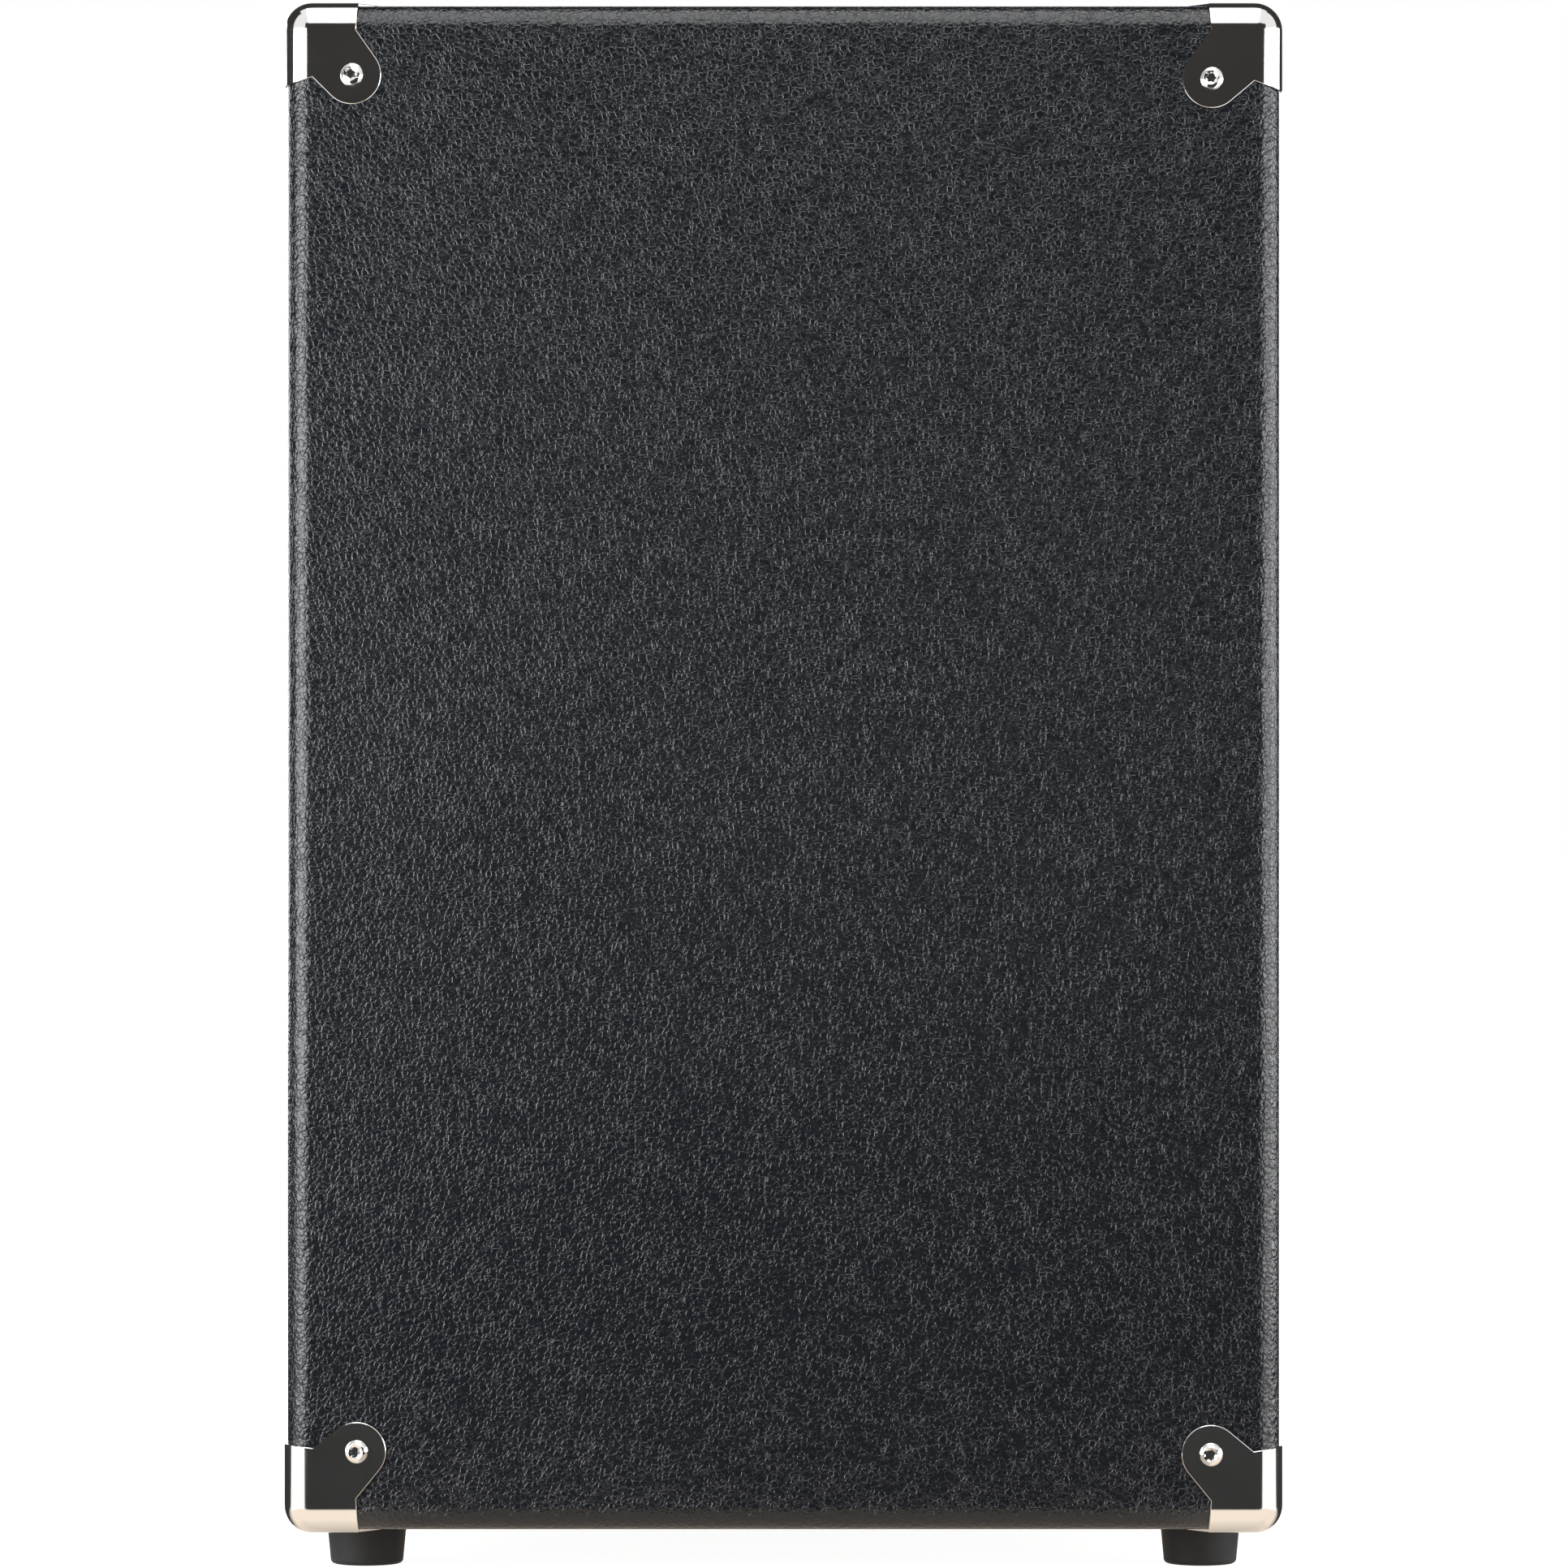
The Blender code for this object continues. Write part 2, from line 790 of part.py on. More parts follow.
def build_strap():
    bend_steps = 5
    end = handle_span / 2
    bend = [strap_half_flat + strap_bend_length * i / bend_steps for i in range(bend_steps + 1)]
    stations = [-end, *[-x for x in reversed(bend)], *bend, end]
    section = rounded_rectangle(strap_width, strap_thickness, strap_thickness * 0.35, 2)
    lowest = cabinet_top + seat_gap + strap_thickness / 2
    bm = bmesh.new()
    rings = []
    for x in stations:
        step = 0.0005
        rise = strap_height(x)
        slope = math.atan2(strap_height(x + step) - strap_height(x - step), 2 * step)
        corners = []
        for across, up in section:
            offset = Vector((-math.sin(slope) * up, across, math.cos(slope) * up))
            corners.append(bm.verts.new(Vector((x, 0, lowest + rise)) + offset))
        rings.append(corners)
    for first, second in zip(rings, rings[1:]):
        for i in range(len(section)):
            j = (i + 1) % len(section)
            bm.faces.new((first[i], first[j], second[j], second[i]))
    bm.faces.new(rings[0])
    bm.faces.new(rings[-1])
    smooth(make_object("handle_strap", bm, rubber), 40)


def build_handle_caps():
    bottom = cabinet_top + seat_gap
    slot_top = bottom + strap_thickness + cap_room
    cap_top = slot_top + cap_wall
    half = strap_width / 2 + cap_room + cap_wall
    inner_end = cap_outer_end - cap_length
    for side, side_name in ((-1, "left"), (1, "right")):
        low_x, high_x = sorted((side * inner_end, side * cap_outer_end))
        cap = box(
            f"handle_cap_{side_name}",
            (low_x, -half, bottom),
            (high_x, half, cap_top),
            nickel,
            cap_wall * 0.9,
            2,
        )
        slot_end = handle_span / 2 + cap_room
        slot_low, slot_high = sorted((side * (inner_end - beyond), side * slot_end))
        slot = box(
            f"cap_slot_{side_name}",
            (slot_low, -strap_width / 2 - cap_room, bottom - beyond),
            (slot_high, strap_width / 2 + cap_room, slot_top),
            None,
        )
        combine(cap, slot, "DIFFERENCE")
        smooth(cap)


# Front: baffle, grille frame, cloth and the piping round it


def build_front():
    middle = baffle_base + baffle_height / 2

    def on_baffle(x, height):
        return (x, height - middle)

    holes = [
        circle(woofer_cutout_radius, 40, on_baffle(0, woofer_height)),
        circle(horn_hole_radius, 24, on_baffle(horn_x, horn_height)),
        circle(port_hole_radius, 24, on_baffle(port_x, port_height)),
        circle(port_hole_radius, 24, on_baffle(-port_x, port_height)),
    ]
    plate(
        "front_baffle",
        rectangle(2 * baffle_half_width, baffle_height),
        holes,
        -baffle_thickness,
        0,
        plywood,
        (0, baffle_front, middle),
        facing_front,
    )
    grille_width = 2 * (mouth_half_width - grille_clearance)
    grille_height = shelf_base - mouth_base - 2 * grille_clearance
    grille_middle = (shelf_base + mouth_base) / 2
    place = (0, frame_front, grille_middle)
    window = rectangle(grille_width - 2 * grille_rail_width, grille_height - 2 * grille_rail_width)
    plate(
        "grille_frame",
        rectangle(grille_width, grille_height),
        [window],
        -grille_frame_thickness,
        0,
        plywood,
        place,
        facing_front,
    )
    plate(
        "grille_cloth",
        rectangle(grille_width, grille_height),
        [],
        -cloth_thickness,
        0,
        cloth,
        (0, cloth_front, grille_middle),
        facing_front,
    )
    build_piping(grille_width, grille_height, grille_middle)


def build_piping(width, height, middle):
    """A round bead along the edge of the cloth, mitred round its four corners."""
    radius = piping_diameter / 2
    bead = circle(radius, 8, turn=math.pi / 8)
    bm = bmesh.new()
    rings = []
    bend_radius = piping_diameter
    for x, z in rounded_rectangle(width - piping_diameter, height - piping_diameter, bend_radius, 3):
        corner_x = math.copysign(width / 2 - radius - bend_radius, x)
        corner_z = math.copysign(height / 2 - radius - bend_radius, z)
        outwards = Vector((x - corner_x, 0, z - corner_z)).normalized()
        ring = [
            bm.verts.new(Vector((x, 0, z)) + outwards * across + Vector((0, along, 0)))
            for across, along in bead
        ]
        rings.append(ring)
    for first, second in zip(rings, rings[1:] + rings[:1]):
        for i in range(len(bead)):
            j = (i + 1) % len(bead)
            bm.faces.new((first[i], first[j], second[j], second[i]))
    place = (0, piping_front + radius, middle)
    smooth(make_object("grille_piping", bm, piping_white, place), 50)


# Woofer: basket, magnet, yoke, and the cone with its coil, surround and spider


def build_woofer():
    place = (0, baffle_front, woofer_height)
    build_basket(place)
    build_motor(place)
    build_cone(place)


basket_steps = 30
basket_shoulder = -0.002


def basket_inside(height):
    """Radius of the basket's sloping inner wall at a height, at the middle of its flats."""
    along = (basket_shoulder - height) / (basket_shoulder + basket_depth)
    radius = basket_mouth_radius + (basket_back_radius - basket_mouth_radius) * along
    return radius * math.cos(math.pi / basket_steps)


def build_basket(place):
    back = -basket_depth
    profile = [
        (woofer_radius, seat_gap),
        (woofer_radius, woofer_flange_thickness),
        (basket_mouth_radius, woofer_flange_thickness),
        (basket_mouth_radius, basket_shoulder),
        (basket_back_radius, back),
        (basket_bore_radius, back),
        (basket_bore_radius, back - basket_wall),
        (basket_back_radius + basket_wall / 2, back - basket_wall),
        (woofer_cutout_radius - basket_wall, basket_shoulder - basket_wall),
        (woofer_cutout_radius - basket_wall, seat_gap),
    ]
    basket = turned("woofer_basket", profile, basket_steps, sheet_steel, place, facing_front)
    half_angle = math.pi / basket_spokes * basket_window_share
    arc_steps = 4
    for i in range(basket_spokes):
        middle = 2 * math.pi * i / basket_spokes
        angles = [middle + half_angle * (2 * k / arc_steps - 1) for k in range(arc_steps + 1)]
        outer = [(basket_window_outer * math.cos(a), basket_window_outer * math.sin(a)) for a in angles]
        inner = [(basket_window_inner * math.cos(a), basket_window_inner * math.sin(a)) for a in angles]
        window = plate(
            f"basket_window_{i + 1}",
            outer + inner[::-1],
            [],
            back - beyond,
            -basket_wall,
            None,
            place,
            facing_front,
        )
        combine(basket, window, "DIFFERENCE")


def build_motor(place):
    plate_front = -basket_depth - basket_wall - seat_gap
    plate_back = plate_front - top_plate_thickness
    magnet_back = plate_back - magnet_thickness
    yoke_front = magnet_back - seat_gap
    gap_outer = coil_radius + coil_former_thickness + coil_winding_thickness + magnet_gap_clearance
    turned(
        "woofer_magnet",
        [
            (gap_outer, plate_front),
            (top_plate_radius, plate_front),
            (top_plate_radius, plate_back),
            (magnet_radius, plate_back),
            (magnet_radius, magnet_back),
            (basket_bore_radius, magnet_back),
            (basket_bore_radius, plate_back),
            (gap_outer, plate_back),
        ],
        32,
        magnet_black,
        place,
        facing_front,
    )
    pole_radius = coil_radius - magnet_gap_clearance
    turned(
        "woofer_yoke",
        [
            (0, plate_front),
            (pole_radius, plate_front),
            (pole_radius, yoke_front),
            (yoke_radius, yoke_front),
            (yoke_radius, yoke_front - yoke_thickness),
            (0, yoke_front - yoke_thickness),
        ],
        32,
        sheet_steel,
        place,
        facing_front,
        closed=False,
    )


def cone_height(radius):
    """Height of the cone's front surface at a radius, on a slightly flared curve."""
    neck = coil_radius + coil_former_thickness + seat_gap
    along = (radius - neck) / (cone_radius - neck)
    return cone_front - cone_depth * (1 - along**0.85)


def build_cone(place):
    neck = coil_radius + coil_former_thickness + seat_gap
    cap_edge = cone_height(dust_cap_radius)
    dome_steps = 3
    dome = [
        (
            dust_cap_radius * math.sin(math.pi / 2 * i / dome_steps),
            cap_edge + dust_cap_height * math.cos(math.pi / 2 * i / dome_steps),
        )
        for i in range(dome_steps)
    ]
    flare = [dust_cap_radius + (cone_radius - dust_cap_radius) * i / 3 for i in range(4)]
    front_side = [(r, cone_height(r)) for r in flare]
    back_side = [(r, cone_height(r) - cone_thickness) for r in reversed(flare)]
    under_cap = dust_cap_radius - cone_thickness * 1.5
    neck_front = (neck, cone_height(neck))
    neck_back = (neck, cone_height(neck) - cone_thickness)
    inner_dome = [
        (under_cap * math.sin(math.pi / 2 * i / dome_steps),
         cap_edge + (dust_cap_height - cone_thickness) * math.cos(math.pi / 2 * i / dome_steps))
        for i in range(dome_steps - 1, -1, -1)
    ]
    under_edge = (under_cap, cone_height(under_cap))
    profile = [*dome, *front_side, *back_side, neck_back, neck_front, under_edge, *inner_dome]
    turned("woofer_cone", profile, basket_steps, paper, place, facing_front, closed=False)

    coil_front = neck_front[1] - cone_thickness * 0.2
    coil_back = coil_front - coil_length
    former = coil_radius + coil_former_thickness
    winding = former + coil_winding_thickness
    turned(
        "voice_coil",
        [
            (coil_radius, coil_front),
            (former, coil_front),
            (former, coil_back + coil_winding_length),
            (winding, coil_back + coil_winding_length),
            (winding, coil_back),
            (coil_radius, coil_back),
        ],
        24,
        copper,
        place,
        facing_front,
    )

    inner = cone_radius + seat_gap
    outer = basket_mouth_radius - seat_gap
    roll_middle = (inner + outer) / 2
    roll = (outer - inner) / 2
    base = cone_front - cone_thickness
    over = [
        (roll_middle - roll * math.cos(math.pi * i / 5), base + surround_height * math.sin(math.pi * i / 5))
        for i in range(6)
    ]
    under = [
        (
            roll_middle - (roll - surround_thickness) * math.cos(math.pi * i / 5),
            base + (surround_height - surround_thickness) * math.sin(math.pi * i / 5),
        )
        for i in range(5, -1, -1)
    ]
    turned("woofer_surround", over + under, basket_steps, rubber, place, facing_front)

    spider_inner = former + seat_gap
    spider_rim = spider_front + spider_wave - spider_thickness
    spider_radius = basket_inside(spider_rim) - seat_gap
    stations = 2 * spider_waves
    wave = []
    for i in range(stations + 1):
        radius = spider_inner + (spider_radius - spider_inner) * i / stations
        height = spider_front + spider_wave * (-1) ** i
        wave.append((radius, height))
    lower = [(radius, height - spider_thickness) for radius, height in reversed(wave)]
    turned("woofer_spider", wave + lower, 24, cloth, place, facing_front)


# Horn, its driver, the ports and the crossover


def build_horn():
    place = (horn_x, baffle_front, horn_height)
    steps = 4
    along = [i / steps for i in range(steps + 1)]
    ratio = horn_mouth_radius / horn_throat_radius
    inner = [(horn_throat_radius * ratio ** (1 - t), -horn_depth * t) for t in along]
    outer = [(radius + horn_wall, height) for radius, height in inner]
    mouth = [(horn_mouth_radius, horn_flange_thickness)]
    flange_seat = [(horn_mouth_radius + horn_wall, horn_flange_thickness * 0.9)]
    profile = mouth + inner + outer[::-1] + flange_seat
    flare = turned("horn_flare", profile, 24, black_plastic, place, facing_front)
    flange = plate(
        "horn_flange",
        rounded_rectangle(horn_flange_side, horn_flange_side, horn_flange_corner, 2),
        [circle(horn_mouth_radius + horn_wall / 2, 24)],
        seat_gap,
        horn_flange_thickness * 0.95,
        None,
        place,
        facing_front,
    )
    combine(flare, flange, "UNION")
    driver_front = -horn_depth - seat_gap
    driver_back = driver_front - horn_driver_length
    turned(
        "horn_driver",
        [
            (0, driver_front),
            (horn_throat_radius + horn_wall, driver_front),
            (horn_driver_radius, driver_front - horn_driver_shoulder),
            (horn_driver_radius, driver_back + horn_driver_edge),
            (horn_driver_radius - horn_driver_edge, driver_back),
            (0, driver_back),
        ],
        24,
        magnet_black,
        place,
        facing_front,
        closed=False,
    )


def build_ports():
    tube = port_radius + port_wall
    for side, side_name in ((-1, "left"), (1, "right")):
        turned(
            f"port_tube_{side_name}",
            [
                (port_radius + port_mouth_flare, port_flange_thickness),
                (port_flange_radius, port_flange_thickness),
                (port_flange_radius, seat_gap),
                (tube, seat_gap),
                (tube, -port_length),
                (port_radius, -port_length),
                (port_radius, -port_mouth_flare),
            ],
            24,
            black_plastic,
            (side * port_x, baffle_front, port_height),
            facing_front,
        )


def build_circuit_board(name, width, depth, place):
    """A circuit board on four standoffs, placed by the foot of its standoffs."""
    board = plate(
        name,
        rectangle(width, depth),
        [],
        standoff_height,
        standoff_height + board_thickness,
        board_green,
        place,
    )
    post_top = standoff_height + join_overlap
    posts = rectangle(width - 2 * standoff_inset, depth - 2 * standoff_inset)
    for i, (x, y) in enumerate(posts):
        post = turned(
            f"{name}_post_{i + 1}",
            [(0, 0), (standoff_radius, 0), (standoff_radius, post_top), (0, post_top)],
            8,
            None,
            (place[0] + x, place[1] + y, place[2]),
            closed=False,
        )
        combine(board, post, "UNION")
    return board


def build_crossover():
    base = bay_floor + seat_gap
    place = (port_x * 0.5, rear_face - rear_board_thickness - crossover_depth, base)
    board = build_circuit_board("crossover_board", crossover_width, crossover_depth, place)
    foot = standoff_height + board_thickness - join_overlap
    coil_top = foot + crossover_coil_height
    coil = turned(
        "crossover_coil",
        [
            (crossover_coil_bore, foot),
            (crossover_coil_radius, foot),
            (crossover_coil_radius, coil_top),
            (crossover_coil_bore, coil_top),
        ],
        16,
        None,
        (place[0] - crossover_width / 2 + crossover_coil_inset, place[1], base),
    )
    combine(board, coil, "UNION")
    capacitor_top = foot + crossover_capacitor_height
    capacitor = turned(
        "crossover_capacitor",
        [
            (0, foot),
            (crossover_capacitor_radius, foot),
            (crossover_capacitor_radius, capacitor_top),
            (0, capacitor_top),
        ],
        14,
        None,
        (place[0] + crossover_width / 2 - crossover_capacitor_inset, place[1], base),
        closed=False,
    )
    combine(board, capacitor, "UNION")


# Controls: the front panel with its sockets, switches, knobs and the board behind it


def build_jack(name, place, rotation, wall):
    """A 6.35 mm socket with its nut on the panel and its body behind a wall of that thickness."""
    behind = -wall - seat_gap
    turned(
        name,
        [
            (0, jack_nut_thickness - jack_bore_depth),
            (jack_bore_radius, jack_nut_thickness - jack_bore_depth),
            (jack_bore_radius, jack_nut_thickness),
            (jack_bushing_radius, jack_nut_thickness),
            (jack_nut_radius, jack_nut_thickness * 0.7),
            (jack_nut_radius, seat_gap),
            (jack_bushing_radius, seat_gap),
            (jack_bushing_radius, behind),
            (jack_body_radius, behind),
            (jack_body_radius, behind - jack_body_length),
            (0, behind - jack_body_length),
        ],
        16,
        black_plastic,
        place,
        rotation,
        closed=False,
    )


def build_control_panel():
    width = 2 * (mouth_half_width - seat_gap)
    height = control_bay_height - 2 * seat_gap
    holes = [circle(jack_bushing_radius + hole_clearance, 16, (x, 0)) for x in (input_x, phones_x)]
    holes += [circle(button_radius + button_running_gap, 14, (x, 0)) for x in button_xs]
    holes += [circle(pot_bushing_radius + hole_clearance, 14, (x, 0)) for x in knob_xs]
    holes += [circle(lamp_radius + hole_clearance, 12, (lamp_x, 0))]
    plate(
        "control_panel",
        rectangle(width, height),
        holes,
        -panel_thickness,
        0,
        black_panel,
        (0, panel_face, panel_middle),
        facing_front,
    )
    build_jack("input_jack", (input_x, panel_face, panel_middle), facing_front, panel_thickness)
    build_jack("phones_jack", (phones_x, panel_face, panel_middle), facing_front, panel_thickness)
    turned(
        "status_lamp",
        [
            (0, lamp_height),
            (lamp_radius * 0.7, lamp_height * 0.85),
            (lamp_radius, lamp_height * 0.5),
            (lamp_radius + lamp_bezel_width, lamp_bezel_height),
            (lamp_radius + lamp_bezel_width, seat_gap),
            (lamp_radius, seat_gap),
            (lamp_radius, -panel_thickness - lamp_tail),
            (0, -panel_thickness - lamp_tail),
        ],
        12,
        lamp_red,
        (lamp_x, panel_face, panel_middle),
        facing_front,
        closed=False,
    )


def fluted_outline():
    """Outline of a knob's grip, drawn in a little between its ridges."""
    points = []
    for i in range(knob_flutes):
        for share, drawn_in in ((0.0, 0.0), (0.35, 0.0), (0.5, 1.0), (0.85, 1.0)):
            angle = 2 * math.pi * (i + share) / knob_flutes + math.pi / 2
            radius = knob_grip_radius - knob_flute_depth * drawn_in
            points.append((radius * math.cos(angle), radius * math.sin(angle)))
    return points


def build_knobs():
    back = knob_lift
    face = knob_lift + knob_height
    recess = pot_nut_radius + knob_nut_room
    recess_depth = pot_nut_thickness + knob_nut_head_room
    shaft_end = -panel_thickness - pot_bushing_length + shaft_end_room
    skirt_top = back + knob_skirt_height
    grip_core = knob_grip_radius - knob_flute_depth * 1.5
    grip_foot = skirt_top - join_overlap * 1.2
    profile = [
        (0, skirt_top + join_overlap),
        (grip_core, skirt_top + join_overlap),
        (grip_core, skirt_top),
        (knob_radius - knob_edge, skirt_top),
        (knob_radius, skirt_top - knob_edge),
        (knob_radius, back),
        (recess, back),
        (recess, back + recess_depth),
        (shaft_radius, back + recess_depth),
        (shaft_radius, shaft_end),
        (0, shaft_end),
    ]
    for name, x in zip(knob_names, knob_xs):
        place = (x, panel_face, panel_middle)
        knob = turned(f"knob_{name}", profile, 14, black_plastic, place, facing_front, closed=False)
        grip = plate(
            f"grip_{name}", fluted_outline(), [], grip_foot, face, None, place, facing_front
        )
        combine(knob, grip, "UNION")
        line = plate(
            f"pointer_{name}",
            rectangle(knob_pointer_width, knob_grip_radius * 0.7, (0, knob_grip_radius * 0.5)),
            [],
            face - knob_pointer_sunk,
            face + knob_pointer_proud,
            None,
            place,
            facing_front,
        )
        combine(knob, line, "UNION")


def build_control_board():
    """The upright board behind the panel, with six pots and three switches soldered to it."""
    case_front = -pot_bushing_length
    board_front = case_front - pot_case_length
    place = (0, panel_back, panel_middle)
    board_width = knob_xs[-1] - button_xs[0] + 2 * control_board_margin
    board_x = (button_xs[0] + knob_xs[-1]) / 2
    board = plate(
        "control_board",
        rectangle(board_width, control_board_height, (board_x, 0)),
        [],
        board_front - board_thickness,
        board_front,
        board_green,
        place,
        facing_front,
    )
    bore = shaft_radius + shaft_running_gap
    bore_floor = case_front - shaft_end_room
    nut_front = panel_thickness + seat_gap
    for i, x in enumerate(knob_xs):
        pot = turned(
            f"pot_{i + 1}",
            [
                (0, bore_floor),
                (bore, bore_floor),
                (bore, nut_front + pot_nut_thickness - seat_gap),
                (pot_nut_radius, nut_front + pot_nut_thickness - seat_gap),
                (pot_nut_radius, nut_front),
                (pot_bushing_radius, nut_front),
                (pot_bushing_radius, case_front),
                (pot_case_radius, case_front),
                (pot_case_radius, board_front - board_thickness / 2),
                (0, board_front - board_thickness / 2),
            ],
            10,
            None,
            (x, panel_back, panel_middle),
            facing_front,
            closed=False,
        )
        combine(board, pot, "UNION")
    switch_front = -button_tail - switch_gap
    for i, x in enumerate(button_xs):
        switch = plate(
            f"switch_{i + 1}",
            rectangle(switch_side, switch_side, (x, 0)),
            [],
            board_front - board_thickness / 2,
            switch_front,
            None,
            place,
            facing_front,
        )
        combine(board, switch, "UNION")


def build_buttons():
    profile = [
        (0, button_proud),
        (button_radius - button_edge, button_proud),
        (button_radius, button_proud - button_edge),
        (button_radius, -panel_thickness - button_tail),
        (0, -panel_thickness - button_tail),
    ]
    for name, x in zip(button_names, button_xs):
        turned(
            f"button_{name}",
            profile,
            14,
            black_plastic,
            (x, panel_face, panel_middle),
            facing_front,
            closed=False,
        )


# Chassis: the tray, the rear panel and its fittings, and the electronics


def build_chassis():
    start = panel_back + seat_gap
    end = rear_panel_back - seat_gap
    inner = tray_half_width - tray_thickness
    outline = [
        (-tray_half_width, 0),
        (tray_half_width, 0),
        (tray_half_width, tray_wall_height),
        (inner, tray_wall_height),
        (inner, tray_thickness),
        (-inner, tray_thickness),
        (-inner, tray_wall_height),
        (-tray_half_width, tray_wall_height),
    ]
    plate(
        "chassis_tray",
        outline,
        [],
        start - end,
        0,
        sheet_steel,
        (0, start, shelf_top + seat_gap),
        facing_front,
    )


def build_rear_panel():
    # Seen from behind, X runs the other way, so the row is laid out from the left there.
    width = 2 * (mouth_half_width - seat_gap)
    height = control_bay_height - 2 * seat_gap
    clear = 2 * hole_clearance
    inlet_hole = rectangle(inlet_body_width + clear, inlet_body_height + clear, (inlet_x, 0))
    switch_hole = rectangle(switch_width + clear, switch_height + clear, (switch_x, 0))
    di_hole = circle(di_bore_radius + di_shell_wall + hole_clearance, 20, (di_x, 0))
    jack_hole = circle(jack_bushing_radius + hole_clearance, 16, (speaker_jack_x, 0))
    holes = [inlet_hole, switch_hole, jack_hole, di_hole]
    for i in range(vent_count):
        x = vents_x + i * vent_spacing
        holes.append(rounded_rectangle(vent_width, vent_height, vent_width * 0.3, 1, (x, 0)))
    plate(
        "rear_panel",
        rectangle(width, height),
        holes,
        -rear_panel_thickness,
        0,
        black_panel,
        (0, rear_face, panel_middle),
        facing_back,
    )
    place = (-speaker_jack_x, rear_face, panel_middle)
    build_jack("speaker_jack", place, facing_back, rear_panel_thickness)
    build_di_connector()
    build_mains_inlet()
    build_power_switch()


def build_di_connector():
    place = (-di_x, rear_face, panel_middle)
    flange = di_flange_thickness
    floor = flange - di_bore_depth
    shell = di_bore_radius + di_shell_wall
    connector = turned(
        "di_connector",
        [
            (0, floor),
            (di_bore_radius, floor),
            (di_bore_radius, flange + di_lip),
            (shell, flange + di_lip),
            (shell, floor - di_floor_thickness),
            (0, floor - di_floor_thickness),
        ],
        20,
        sheet_steel,
        place,
        facing_back,
        closed=False,
    )
    rim = plate(
        "di_flange",
        rounded_rectangle(di_flange_width, di_flange_height, di_flange_corner, 2),
        [circle(di_bore_radius + di_shell_wall / 2, 20)],
        seat_gap,
        flange,
        None,
        place,
        facing_back,
    )
    combine(connector, rim, "UNION")
    for i in range(3):
        angle = math.pi / 2 + 2 * math.pi * i / 3
        x, z = di_pin_circle * math.cos(angle), di_pin_circle * math.sin(angle)
        pin = turned(
            f"di_pin_{i + 1}",
            [
                (0, floor + di_pin_length),
                (di_pin_radius, floor + di_pin_length),
                (di_pin_radius, floor - 2 * join_overlap),
                (0, floor - 2 * join_overlap),
            ],
            8,
            None,
            (place[0] - x, place[1], place[2] + z),
            facing_back,
            closed=False,
        )
        combine(connector, pin, "UNION")


def build_mains_inlet():
    place = (-inlet_x, rear_face, panel_middle)
    inlet = plate(
        "mains_inlet",
        rectangle(inlet_body_width, inlet_body_height),
        [],
        -inlet_body_depth,
        inlet_flange_thickness * 0.5,
        black_plastic,
        place,
        facing_back,
    )
    flange = plate(
        "inlet_flange",
        rounded_rectangle(inlet_flange_width, inlet_flange_height, inlet_corner, 2),
        [],
        seat_gap,
        inlet_flange_thickness,
        None,
        place,
        facing_back,
    )
    combine(inlet, flange, "UNION")
    cavity = plate(
        "inlet_cavity",
        rounded_rectangle(
            inlet_cavity_width, inlet_cavity_height, inlet_corner, 2, (0, inlet_cavity_lift)
        ),
        [],
        inlet_flange_thickness - inlet_cavity_depth,
        beyond,
        None,
        place,
        facing_back,
    )
    combine(inlet, cavity, "DIFFERENCE")
    clear = 2 * seat_gap
    drawer_slot = plate(
        "drawer_slot",
        rectangle(drawer_width + clear, drawer_height + clear, (0, -drawer_drop)),
        [],
        inlet_flange_thickness - drawer_depth - clear,
        beyond,
        None,
        place,
        facing_back,
    )
    combine(inlet, drawer_slot, "DIFFERENCE")
    floor = inlet_flange_thickness - inlet_cavity_depth
    for i, (across, up) in enumerate(((-1, 0), (0, 1), (1, 0))):
        lift = inlet_cavity_lift + up * inlet_earth_lift - inlet_blade_drop
        centre = (across * inlet_blade_spacing, lift)
        blade = plate(
            f"inlet_blade_{i + 1}",
            rectangle(inlet_blade_width, inlet_blade_height, centre),
            [],
            floor - 2 * join_overlap,
            floor + inlet_blade_length,
            None,
            place,
            facing_back,
        )
        combine(inlet, blade, "UNION")
    drawer = plate(
        "fuse_drawer",
        rectangle(drawer_width, drawer_height, (0, -drawer_drop)),
        [],
        inlet_flange_thickness - drawer_depth,
        inlet_flange_thickness + drawer_lip,
        black_plastic,
        place,
        facing_back,
    )
    pocket = plate(
        "fuse_pocket",
        rectangle(
            drawer_width - 2 * drawer_side_wall,
            drawer_height * 0.5,
            (0, -drawer_drop + drawer_height * 0.4),
        ),
        [],
        inlet_flange_thickness - drawer_depth + drawer_end_wall,
        inlet_flange_thickness - drawer_face_wall,
        None,
        place,
        facing_back,
    )
    combine(drawer, pocket, "DIFFERENCE")


